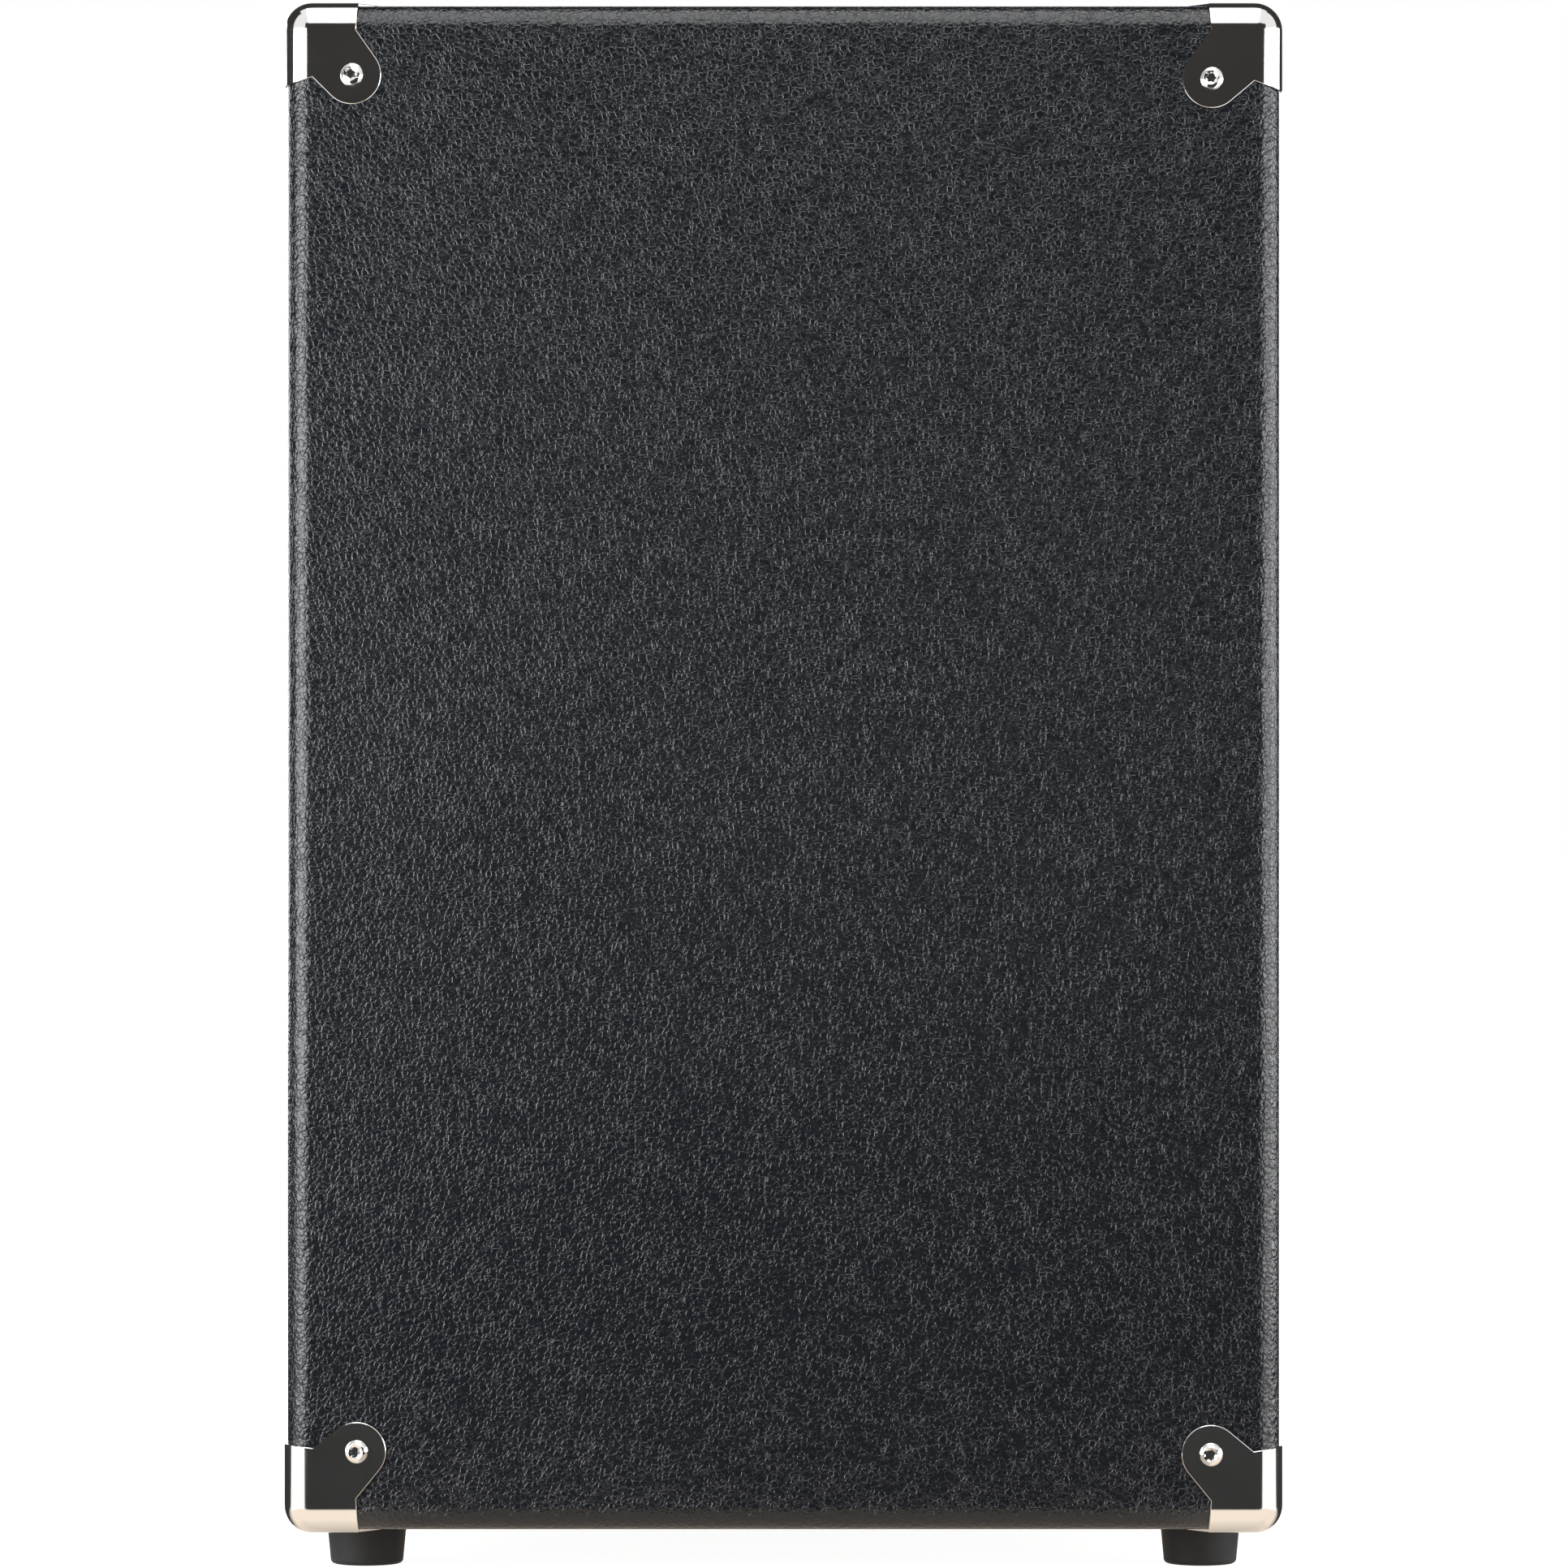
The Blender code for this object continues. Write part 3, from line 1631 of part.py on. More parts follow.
def build_power_switch():
    place = (-switch_x, rear_face, panel_middle)
    housing = plate(
        "power_switch_housing",
        rectangle(switch_width, switch_height),
        [],
        -switch_body_depth,
        switch_flange_thickness * 0.5,
        black_plastic,
        place,
        facing_back,
    )
    rim = plate(
        "switch_rim",
        rounded_rectangle(switch_flange_width, switch_flange_height, switch_flange_lip, 2),
        [],
        seat_gap,
        switch_flange_thickness,
        None,
        place,
        facing_back,
    )
    combine(housing, rim, "UNION")
    reach = math.hypot(rocker_half_height, rocker_rise) + rocker_room
    pivot = switch_flange_thickness - rocker_pivot_depth
    well = plate(
        "switch_well",
        rectangle(rocker_width + rocker_room, 2 * reach),
        [],
        pivot - rocker_depth - 2 * rocker_room,
        beyond,
        None,
        place,
        facing_back,
    )
    combine(housing, well, "DIFFERENCE")
    profile = [
        (-rocker_half_height, rocker_rise),
        (-rocker_half_height * 0.9, -rocker_shoulder_depth),
        (-rocker_foot_half_height, -rocker_depth),
        (rocker_foot_half_height, -rocker_depth),
        (rocker_half_height * 0.9, -rocker_shoulder_depth),
        (rocker_half_height, rocker_rise),
        (0, rocker_rise - rocker_dish),
    ]
    bm = flat_bmesh(profile, [], -rocker_width / 2, rocker_width / 2)
    # The profile is drawn with its height along Y, then stood up so that height points outwards.
    bmesh.ops.rotate(
        bm, verts=bm.verts[:], matrix=Matrix(((0, 0, 1), (1, 0, 0), (0, 1, 0)))
    )
    bmesh.ops.rotate(bm, verts=bm.verts[:], matrix=Matrix.Rotation(rocker_rest_angle, 3, "X"))
    hinge = (place[0], rear_face + pivot, panel_middle)
    make_object("power_rocker", bm, black_plastic, hinge, facing_back)


def build_electronics():
    tray_floor = shelf_top + seat_gap + tray_thickness
    floor = tray_floor + seat_gap
    board_y = rear_panel_back - main_board_rear_room - main_board_depth / 2
    board_x = -tray_half_width + main_board_side_room + main_board_width / 2
    board = build_circuit_board(
        "main_board", main_board_width, main_board_depth, (board_x, board_y, floor)
    )
    foot = standoff_height + board_thickness - join_overlap
    can_top = foot + reservoir_height
    can_x = board_x - main_board_width / 2 + reservoir_side_inset
    can_y = board_y + main_board_depth / 2 - reservoir_rear_inset
    for i in range(reservoir_count):
        can = turned(
            f"reservoir_{i + 1}",
            [(0, foot), (reservoir_radius, foot), (reservoir_radius, can_top), (0, can_top)],
            12,
            None,
            (can_x + reservoir_spacing * i, can_y, floor),
            closed=False,
        )
        combine(board, can, "UNION")
    middle = (transformer_radius + transformer_bore_radius) / 2
    section = rounded_rectangle(
        transformer_radius - transformer_bore_radius,
        transformer_height,
        transformer_edge_radius,
        2,
        (middle, transformer_height / 2),
    )
    turned(
        "mains_transformer",
        section,
        24,
        copper,
        (tray_half_width - transformer_side_room - transformer_radius, board_y, floor),
    )
    pitch = (sink_width - sink_fin_thickness) / (sink_fins - 1)
    outline = [(-sink_width / 2, 0), (sink_width / 2, 0)]
    for i in range(sink_fins):
        right = sink_width / 2 - i * pitch
        left = right - sink_fin_thickness
        if i:
            outline.append((right, sink_base_thickness))
        fin_tip = sink_base_thickness + sink_fin_length
        outline += [(right, fin_tip), (left, fin_tip)]
        if i < sink_fins - 1:
            outline.append((left, sink_base_thickness))
    sink_y = rear_panel_back - sink_rear_room - sink_fin_length - sink_base_thickness
    plate(
        "heat_sink",
        outline,
        [],
        0,
        sink_height,
        aluminium,
        (-vents_x - vent_run / 2, sink_y, floor),
    )


build_cabinet()
build_corners()
build_feet()
build_strap()
build_handle_caps()
build_front()
build_woofer()
build_horn()
build_ports()
build_crossover()
build_control_panel()
build_knobs()
build_control_board()
build_buttons()
build_chassis()
build_rear_panel()
build_electronics()
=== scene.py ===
import bpy, bmesh, json
from math import radians, pi, sin, cos, hypot, atan2, acos
from mathutils import Matrix, Vector

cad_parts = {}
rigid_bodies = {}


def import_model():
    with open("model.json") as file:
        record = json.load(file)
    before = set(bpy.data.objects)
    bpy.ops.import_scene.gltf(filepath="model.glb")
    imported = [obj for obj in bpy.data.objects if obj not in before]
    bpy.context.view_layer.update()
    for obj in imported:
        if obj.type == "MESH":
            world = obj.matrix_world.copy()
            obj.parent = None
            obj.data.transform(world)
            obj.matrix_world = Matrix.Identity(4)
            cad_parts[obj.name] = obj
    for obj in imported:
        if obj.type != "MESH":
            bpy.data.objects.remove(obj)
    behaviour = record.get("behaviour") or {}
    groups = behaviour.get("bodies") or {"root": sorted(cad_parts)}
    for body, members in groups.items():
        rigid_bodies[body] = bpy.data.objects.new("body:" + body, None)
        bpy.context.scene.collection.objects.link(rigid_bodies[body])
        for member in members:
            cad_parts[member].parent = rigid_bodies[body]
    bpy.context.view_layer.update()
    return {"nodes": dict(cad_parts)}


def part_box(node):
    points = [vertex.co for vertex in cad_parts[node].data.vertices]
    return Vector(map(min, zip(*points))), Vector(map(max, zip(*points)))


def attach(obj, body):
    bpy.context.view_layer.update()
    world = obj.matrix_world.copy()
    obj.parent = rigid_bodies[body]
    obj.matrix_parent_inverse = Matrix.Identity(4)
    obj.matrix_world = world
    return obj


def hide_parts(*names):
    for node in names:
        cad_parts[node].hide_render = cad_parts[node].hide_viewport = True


for spare in list(bpy.data.objects):  # the start-up cube, lamp and camera
    bpy.data.objects.remove(spare)
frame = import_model()
print("frame loaded:", len(frame["nodes"]), "nodes")

# directions that a piece can face; its own Z points there and its own Y stays up
towardsFront = Matrix.Rotation(radians(90), 4, 'X')
towardsRear = Matrix.Rotation(radians(180), 4, 'Z') @ Matrix.Rotation(radians(90), 4, 'X')
upwards = Matrix.Identity(4)
downwards = Matrix.Rotation(radians(180), 4, 'X')


class Signal:
    # one socket of a node tree, so that shader maths reads as plain expressions
    def __init__(self, tree, socket):
        self.tree = tree
        self.socket = socket

    def maths(self, operation, first, second=0.0):
        return addNode(self.tree, 'ShaderNodeMath', {'operation': operation}, {0: first, 1: second})

    def __add__(self, other): return self.maths('ADD', self, other)
    def __radd__(self, other): return self.maths('ADD', other, self)
    def __sub__(self, other): return self.maths('SUBTRACT', self, other)
    def __rsub__(self, other): return self.maths('SUBTRACT', other, self)
    def __mul__(self, other): return self.maths('MULTIPLY', self, other)
    def __rmul__(self, other): return self.maths('MULTIPLY', other, self)
    def atMost(self, other): return self.maths('MINIMUM', self, other)
    def atLeast(self, other): return self.maths('MAXIMUM', self, other)
    def wave(self): return self.maths('SINE', self)
    def size(self): return self.maths('ABSOLUTE', self)
    def clamp(self): return self.maths('MAXIMUM', self.maths('MINIMUM', self, 1.0), 0.0)


def plug(tree, slot, value):
    if isinstance(value, Signal):
        tree.links.new(value.socket, slot)
    elif hasattr(slot, 'default_value'):
        if slot.type == 'RGBA' and len(value) == 3:
            value = (*value, 1.0)
        slot.default_value = value


def addNode(tree, kind, settings=None, inputs=None, output=0):
    made = tree.nodes.new(kind)
    for key, value in (settings or {}).items():
        setattr(made, key, value)
    for key, value in (inputs or {}).items():
        plug(tree, made.inputs[key], value)
    return Signal(tree, made.outputs[output])


class Finish:
    # a Principled material whose varying inputs come from Signals
    def __init__(self, name, color, rough, metal=0.0, **more):
        self.material = bpy.data.materials.new(name)
        self.material.use_nodes = True
        self.material.diffuse_color = (*color, 1.0)
        self.tree = self.material.node_tree
        self.shader = self.tree.nodes['Principled BSDF']
        self.put('Base Color', color)
        self.put('Roughness', rough)
        self.put('Metallic', metal)
        for key, value in more.items():
            self.put(key.replace('_', ' '), value)
        self.place = self.node('ShaderNodeTexCoord', output='Object')

    def put(self, key, value):
        plug(self.tree, self.shader.inputs[key], value)

    def node(self, kind, settings=None, inputs=None, output=0):
        return addNode(self.tree, kind, settings, inputs, output)

    def stretched(self, scale, turn=(0, 0, 0)):
        return self.node('ShaderNodeMapping', None, {'Vector': self.place, 'Scale': scale, 'Rotation': turn})

    def noise(self, scale, detail=2.0, rough=0.5, source=None):
        given = {'Vector': source or self.place, 'Scale': scale, 'Detail': detail, 'Roughness': rough}
        return self.node('ShaderNodeTexNoise', None, given)

    def warped(self, scale, amount, source=None):
        # the place pushed about by a coarse noise, so that a pattern loses its regular look
        push = self.node('ShaderNodeTexNoise', None,
                         {'Vector': source or self.place, 'Scale': scale, 'Detail': 1.0}, output='Color')
        centred = self.node('ShaderNodeVectorMath', {'operation': 'SUBTRACT'}, {0: push, 1: (0.5, 0.5, 0.5)})
        small = self.node('ShaderNodeVectorMath', {'operation': 'SCALE'}, {0: centred, 'Scale': amount})
        return self.node('ShaderNodeVectorMath', {'operation': 'ADD'}, {0: source or self.place, 1: small})

    def cells(self, scale, feature, source, **inputs):
        given = {'Vector': source, 'Scale': scale, **inputs}
        return self.node('ShaderNodeTexVoronoi', {'feature': feature}, given, output='Distance')

    def blend(self, share, first, second):
        # inputs 6 and 7 and output 2 are the Mix node's colours
        return self.node('ShaderNodeMix', {'data_type': 'RGBA'}, {0: share, 6: first, 7: second}, output=2)

    def relief(self, height, depth):
        self.put('Normal', self.node('ShaderNodeBump', None, {'Height': height, 'Distance': depth}))

    def axis(self, letter):
        return self.node('ShaderNodeSeparateXYZ', None, {'Vector': self.place}, output=letter)


def plainDetail(name, color, rough, metal=0.0, grain=900.0, depth=0.00004, tone=0.12, **more):
    # moulded plastic, paint or rubber: small tone and gloss changes and a fine surface
    made = Finish(name, color, rough, metal, **more)
    cloud = made.noise(35.0, 3.0)
    darker = tuple(c * (1 - tone) for c in color)
    lighter = tuple(min(c * (1 + tone), 1.0) for c in color)
    made.put('Base Color', made.blend(cloud, darker, lighter))
    made.put('Roughness', (cloud * 0.16 + (rough - 0.08)).clamp())
    made.relief(made.noise(grain, 2.0), depth)
    return made


def brushedMetal(name, color, rough, along=(1, 40, 1), depth=0.00001):
    made = Finish(name, color, rough, 1.0)
    lines = made.noise(60.0, 4.0, source=made.stretched(along))
    cloud = made.noise(14.0, 2.0)
    made.put('Roughness', (lines * 0.12 + cloud * 0.10 + (rough - 0.11)).clamp())
    made.put('Base Color', made.blend(cloud, tuple(c * 0.9 for c in color), color))
    made.relief(lines, depth)
    return made


# pressed vinyl: warped cells are the pebbles, their edges the valleys, and a slow noise sets how deep
vinylLook = {'color': (0.0076, 0.0093, 0.0127), 'dark': (0.0056, 0.0069, 0.0098),
             'light': (0.0078, 0.0095, 0.0129), 'rough': 0.22, 'pebble': 430.0, 'flank': 4.8,
             'depth': 0.000148, 'fine': 1500.0, 'index': 1.6}
grainVinyl = Finish('grainVinyl', vinylLook['color'], vinylLook['rough'], IOR=vinylLook['index'])
grainSpace = grainVinyl.warped(330.0, 0.0028)
grainSpace = grainVinyl.warped(1000.0, 0.0009, grainSpace)
grainEdge = grainVinyl.cells(vinylLook['pebble'], 'DISTANCE_TO_EDGE', grainSpace)
grainFlank = (grainEdge * vinylLook['flank']).atMost(1.0)
grainFlank = grainFlank * grainFlank * (3.0 - 2.0 * grainFlank)
grainDeep = (grainVinyl.noise(210.0, 2.0) * 1.2 + 0.05).clamp()
grainDome = 1.0 - grainVinyl.cells(vinylLook['pebble'], 'SMOOTH_F1', grainSpace, Smoothness=0.3)
grainFine = grainVinyl.noise(vinylLook['fine'], 2.0)
grainVinyl.relief(grainFlank * grainDeep + grainDome * 1.2 + grainFine * 0.17, vinylLook['depth'])
grainTone = grainVinyl.noise(9.0, 3.0)
grainVinyl.put('Base Color', grainVinyl.blend(grainTone, vinylLook['dark'], vinylLook['light']))
grainVinyl.put('Roughness', grainFine * 0.06 + grainTone * 0.04 + 0.11)

polishedNickel = Finish('polishedNickel', (0.82, 0.81, 0.79), 0.09, 1.0)
nickelCloud = polishedNickel.noise(70.0, 4.0)
nickelLines = polishedNickel.noise(220.0, 3.0, source=polishedNickel.stretched((1, 9, 1), (0.4, 0.2, 0.7)))
polishedNickel.put('Roughness', nickelCloud * 0.06 + nickelLines * 0.04 + 0.04)
polishedNickel.put('Base Color', polishedNickel.blend(nickelCloud, (0.78, 0.77, 0.75), (0.86, 0.85, 0.83)))
polishedNickel.relief(nickelCloud, 0.00003)

footRubber = plainDetail('footRubber', (0.026, 0.026, 0.027), 0.62, grain=1500.0, depth=0.00008, tone=0.2,
                         Specular_IOR_Level=0.32)
strapRubber = plainDetail('strapRubber', (0.020, 0.020, 0.021), 0.50, grain=1100.0, depth=0.00012)
blackPlastic = plainDetail('blackPlastic', (0.016, 0.016, 0.017), 0.34)
satinPlastic = plainDetail('satinPlastic', (0.030, 0.030, 0.031), 0.48)
panelPaint = plainDetail('panelPaint', (0.017, 0.017, 0.019), 0.38, grain=2600.0, depth=0.00005)
markWhite = plainDetail('markWhite', (0.72, 0.72, 0.70), 0.5, tone=0.05)
pipingVinyl = plainDetail('pipingVinyl', (0.55, 0.55, 0.53), 0.42, grain=700.0, depth=0.0001, tone=0.08)
zincSteel = brushedMetal('zincSteel', (0.60, 0.61, 0.62), 0.32)
bareAluminium = brushedMetal('bareAluminium', (0.66, 0.67, 0.68), 0.36)
darkMetal = plainDetail('darkMetal', (0.05, 0.05, 0.053), 0.45, 0.8)
ferriteBlack = plainDetail('ferriteBlack', (0.035, 0.035, 0.038), 0.6, grain=500.0, depth=0.0002)
paperPulp = plainDetail('paperPulp', (0.030, 0.029, 0.027), 0.85, grain=420.0, depth=0.0004, tone=0.25)
coilCopper = brushedMetal('coilCopper', (0.72, 0.36, 0.20), 0.34, (1, 1, 60), 0.00006)
boardGreen = plainDetail('boardGreen', (0.02, 0.11, 0.05), 0.4)
lampLens = plainDetail('lampLens', (0.42, 0.012, 0.010), 0.14, grain=300.0, depth=0.00003)

birchPly = Finish('birchPly', (0.46, 0.31, 0.17), 0.7)
plyGrain = birchPly.noise(26.0, 5.0, 0.6, birchPly.stretched((1.0, 6.0, 0.5)))
birchPly.put('Base Color', birchPly.blend(plyGrain, (0.36, 0.23, 0.12), (0.60, 0.43, 0.25)))
birchPly.relief(plyGrain, 0.0002)

# a plain weave: warp and weft threads pass over and under each other, with dark holes between
clothLook = {'pitch': 0.0016, 'dark': (0.010, 0.010, 0.011), 'light': (0.105, 0.107, 0.112),
             'pale': (0.135, 0.137, 0.142), 'depth': 0.0004}
speakerCloth = Finish('speakerCloth', clothLook['light'], 0.78)
across = speakerCloth.axis('X') * (pi / clothLook['pitch'])
upward = speakerCloth.axis('Z') * (pi / clothLook['pitch'])
warpThread = across.wave().size()
weftThread = upward.wave().size()
overUnder = (across * 0.5).wave() * (upward * 0.5).wave()
weaveTop = (warpThread + overUnder * 0.5).atLeast(weftThread - overUnder * 0.5)
weaveHole = (warpThread * weftThread * 2.2).atMost(1.0)
clothTone = speakerCloth.noise(22.0, 3.0)
threadTone = speakerCloth.blend(clothTone, clothLook['light'], clothLook['pale'])
speakerCloth.put('Base Color', speakerCloth.blend(weaveHole, clothLook['dark'], threadTone))
speakerCloth.relief(weaveTop, clothLook['depth'])
print("finishes made")


def finishPiece(name, bm, finish, stands=(), body='cabinet', angle=35.0):
    bmesh.ops.remove_doubles(bm, verts=bm.verts[:], dist=1e-7)
    bmesh.ops.recalc_face_normals(bm, faces=bm.faces[:])
    mesh = bpy.data.meshes.new(name)
    bm.to_mesh(mesh)
    bm.free()
    piece = bpy.data.objects.new(name, mesh)
    bpy.context.scene.collection.objects.link(piece)
    mesh.materials.append(finish.material)
    mesh.shade_smooth()
    mesh.set_sharp_from_angle(angle=radians(angle))
    # broad faces keep their own direction beside narrow rounded ones
    even = piece.modifiers.new('even shading', 'WEIGHTED_NORMAL')
    even.keep_sharp = True
    even.weight = 100
    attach(piece, body)
    if stands:
        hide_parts(*stands)
    return piece


def joinTo(bm, other, matrix=upwards):
    other.transform(matrix)
    scratch = bpy.data.meshes.new('scratch')
    other.to_mesh(scratch)
    other.free()
    bm.from_mesh(scratch)
    bpy.data.meshes.remove(scratch)


def lathe(profile, steps=48):
    # spins (radius, height) points about Z; the ends lie on the axis, or ringLathe closes the profile
    bm = bmesh.new()
    points = [bm.verts.new((radius, 0, height)) for radius, height in profile]
    edges = [bm.edges.new(pair) for pair in zip(points, points[1:])]
    bmesh.ops.spin(bm, geom=points + edges, cent=(0, 0, 0), axis=(0, 0, 1), angle=2 * pi, steps=steps,
                   use_merge=True)
    bmesh.ops.remove_doubles(bm, verts=bm.verts[:], dist=1e-7)
    bmesh.ops.recalc_face_normals(bm, faces=bm.faces[:])
    return bm


def ringLathe(profile, steps=48):
    return lathe([*profile, profile[0]], steps)


def prism(outline, low, high):
    bm = bmesh.new()
    face = bm.faces.new([bm.verts.new((x, y, low)) for x, y in outline])
    raised = bmesh.ops.extrude_face_region(bm, geom=[face])
    tops = [v for v in raised['geom'] if isinstance(v, bmesh.types.BMVert)]
    bmesh.ops.translate(bm, verts=tops, vec=(0, 0, high - low))
    bmesh.ops.recalc_face_normals(bm, faces=bm.faces[:])
    return bm


def block(low, high, bevel=0.0, steps=3):
    low, high = Vector(low), Vector(high)
    bm = bmesh.new()
    sizes = Matrix.Diagonal((*(high - low), 1))
    bmesh.ops.create_cube(bm, size=1, matrix=Matrix.Translation((low + high) / 2) @ sizes)
    if bevel:
        bmesh.ops.bevel(bm, geom=bm.edges[:], offset=bevel, segments=steps, profile=0.5, affect='EDGES',
                        material=-1)
    return bm


def sharpEdges(bm, angle=40.0):
    return [e for e in bm.edges if len(e.link_faces) == 2 and e.calc_face_angle(0.0) > radians(angle)]


def soften(bm, width, steps=2, angle=40.0):
    bmesh.ops.dissolve_limit(bm, angle_limit=radians(1), verts=bm.verts[:], edges=bm.edges[:])
    bmesh.ops.bevel(bm, geom=sharpEdges(bm, angle), offset=width, segments=steps, profile=0.5, affect='EDGES',
                    material=-1, clamp_overlap=True)


def circleOutline(radius, steps):
    return [(radius * cos(2 * pi * i / steps), radius * sin(2 * pi * i / steps)) for i in range(steps)]


def carve(name, bm, cutters, operation='DIFFERENCE'):
    # Boolean of one bmesh with others; gives a new bmesh
    base = bpy.data.objects.new(name, bpy.data.meshes.new(name))
    bm.to_mesh(base.data)
    bm.free()
    bpy.context.scene.collection.objects.link(base)
    tools = []
    for i, cutter in enumerate(cutters):
        tool = bpy.data.objects.new(f'{name}_tool_{i}', bpy.data.meshes.new(f'{name}_tool_{i}'))
        cutter.to_mesh(tool.data)
        cutter.free()
        bpy.context.scene.collection.objects.link(tool)
        step = base.modifiers.new(tool.name, 'BOOLEAN')
        step.operation = operation
        step.object = tool
        step.solver = 'EXACT'
        tools.append(tool)
    bpy.context.view_layer.update()
    shaped = bpy.data.meshes.new_from_object(base.evaluated_get(bpy.context.evaluated_depsgraph_get()))
    result = bmesh.new()
    result.from_mesh(shaped)
    for spare in [base, *tools]:
        old = spare.data
        bpy.data.objects.remove(spare)
        bpy.data.meshes.remove(old)
    bpy.data.meshes.remove(shaped)
    return result


def boxOf(node):
    low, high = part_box(node)
    return Vector(low), Vector(high)


def middleOf(node):
    low, high = boxOf(node)
    return (low + high) / 2


def softenedNode(node, finish, width, body='cabinet', steps=2):
    # a copy of a CAD node with its flat faces joined up and its edges broken
    bm = bmesh.new()
    bm.from_mesh(bpy.data.objects[node].data)
    bmesh.ops.remove_doubles(bm, verts=bm.verts[:], dist=1e-6)
    soften(bm, width, steps)
    finishPiece(f'soft_{node}', bm, finish, (node,), body)


viewSetup = {'distance': 3.0, 'lens': 177.43, 'height': 0.3085, 'aside': 0.0002}
coverLow, coverHigh = boxOf('vinyl_covering')
camera = bpy.data.objects.new('photoCamera', bpy.data.cameras.new('photoCamera'))
camera.data.lens = viewSetup['lens']
camera.data.sensor_width = 36.0
camera.data.clip_end = 60.0
camera.location = (coverHigh.x + viewSetup['distance'], viewSetup['aside'], viewSetup['height'])
camera.rotation_euler = (radians(90), 0, radians(90))
bpy.context.scene.collection.objects.link(camera)
bpy.context.scene.camera = camera
bpy.context.scene.view_settings.view_transform = 'Standard'

# a lamp's level is what a mirror would show of its box. Low boxes stand at both sides, the left one with
# a bright core and the right one in three parts, and each side has one more further back. Others light
# the top and the side away from the camera. The right wall's middle is dimmer, so that the cabinet's
# side doesn't fade into the backdrop at a slant.
leftTint, rightTint = (0.97, 0.99, 1.0), (0.98, 0.99, 1.0)
lamps = {
    'leftBox': {'at': (0.80, -0.97, 0.36), 'aim': (0.06, -0.30, 0.36), 'size': (1.20, 0.72), 'level': 2.65,
                'tint': leftTint},
    'leftCore': {'at': (0.84, -0.92, 0.36), 'aim': (0.10, -0.25, 0.36), 'size': (0.60, 0.72), 'level': 3.4,
                 'tint': leftTint},
    'rightNear': {'at': (0.175, 1.60, 0.41), 'aim': (0.145, 0.0, 0.41), 'size': (0.55, 0.82), 'level': 4.6,
                  'tint': rightTint},
    'rightMiddle': {'at': (0.80, 1.60, 0.41), 'aim': (0.77, 0.0, 0.41), 'size': (0.70, 0.82), 'level': 2.3,
                    'tint': rightTint},
    'rightFar': {'at': (1.625, 1.60, 0.41), 'aim': (1.595, 0.0, 0.41), 'size': (0.95, 0.82), 'level': 4.6,
                 'tint': rightTint},
    'leftEdge': {'at': (0.12, -1.46, 0.36), 'aim': (0.20, -0.20, 0.36), 'size': (0.56, 0.72), 'level': 3.0,
                 'tint': leftTint},
    'rightEdge': {'at': (-0.36, 1.60, 0.41), 'aim': (0.10, 0.20, 0.41), 'size': (0.50, 0.82), 'level': 3.0,
                  'tint': rightTint},
    'topBox': {'at': (1.02, 0, 2.08), 'aim': (0.60, 0, 0.9), 'size': (1.3, 2.6), 'level': 1.78},
    'farBox': {'at': (-1.15, -0.85, 0.55), 'aim': (-0.24, -0.05, 0.34), 'size': (1.20, 0.80), 'level': 2.6},
}
worldFill = 0.24


def areaLamp(name, at, aim, size, level, tint=(1, 1, 1)):
    data = bpy.data.lights.new(name, 'AREA')
    data.shape = 'RECTANGLE'
    data.size, data.size_y = size
    data.energy = level * pi * size[0] * size[1]
    data.color = tint
    lamp = bpy.data.objects.new(name, data)
    lamp.location = at
    lamp.rotation_euler = (Vector(aim) - Vector(at)).to_track_quat('-Z', 'Y').to_euler()
    lamp.visible_camera = False
    bpy.context.scene.collection.objects.link(lamp)


for name, setup in lamps.items():
    areaLamp(name, **setup)

world = bpy.data.worlds.new('studioWorld')
bpy.context.scene.world = world
world.use_nodes = True
world.cycles.sampling_method = 'NONE'
worldTree = world.node_tree
background = worldTree.nodes['Background']
seen, glossy, clearRay = [addNode(worldTree, 'ShaderNodeLightPath', output=kind)
                          for kind in ('Is Camera Ray', 'Is Glossy Ray', 'Is Transmission Ray')]
shown = (seen + glossy + clearRay).atMost(1.0)
plug(worldTree, background.inputs['Strength'], shown.atLeast(worldFill))
background.inputs['Color'].default_value = (1, 1, 1, 1)

# the floor glows to the camera and keeps a soft shadow; glossy pieces see painted reflections in it:
# cream close by, painted shade under the cabinet and between the corners, painted dark zones in front
# and beside the cabinet, and white all round; lengths are metres from the cabinet, and 'soft' is how fast one
# tone gives way to the next
floorPlan = {'cream': 0.08, 'under': 0.02, 'underShare': 0.42, 'between': 0.027, 'betweenShare': 0.40,
             'frontStart': 0.08, 'frontEnd': 3.0, 'frontSpread': 0.58, 'sideStart': 0.01, 'sideEnd': 1.2,
             'sideSpread': 0.04, 'soft': 30.0}
# 'white', 'cream' and 'dark' are painted reflection tones that only glossy pieces see
floorTones = {'color': (0.76, 0.75, 0.73), 'glow': (0.93, 0.93, 0.93), 'white': (1.25, 1.24, 1.22),
              'cream': (1.12, 0.97, 0.82), 'dark': (0.040, 0.040, 0.040)}
floorFinish = Finish('studioFloor', floorTones['color'], 0.9, Emission_Strength=1.0, Specular_IOR_Level=0.0)
floorGlossy = floorFinish.node('ShaderNodeLightPath', output='Is Glossy Ray')
floorSeen = (floorFinish.node('ShaderNodeLightPath', output='Is Camera Ray')
             + floorFinish.node('ShaderNodeLightPath', output='Is Transmission Ray')).atMost(1.0)
ahead = floorFinish.axis('X') - coverHigh.x
aside = floorFinish.axis('Y').size() - coverHigh.y
floorAway = (floorFinish.axis('X').size() - coverHigh.x).atLeast(aside)
soft = floorPlan['soft']
# painted reflection: glossy pieces see the floor cream close to the cabinet
nearCream = (1.0 - (floorAway - floorPlan['cream']) * soft).clamp()
# painted shade under the cabinet, seen only in reflections
underneath = (1.0 - (floorAway + floorPlan['under']) * soft).clamp()
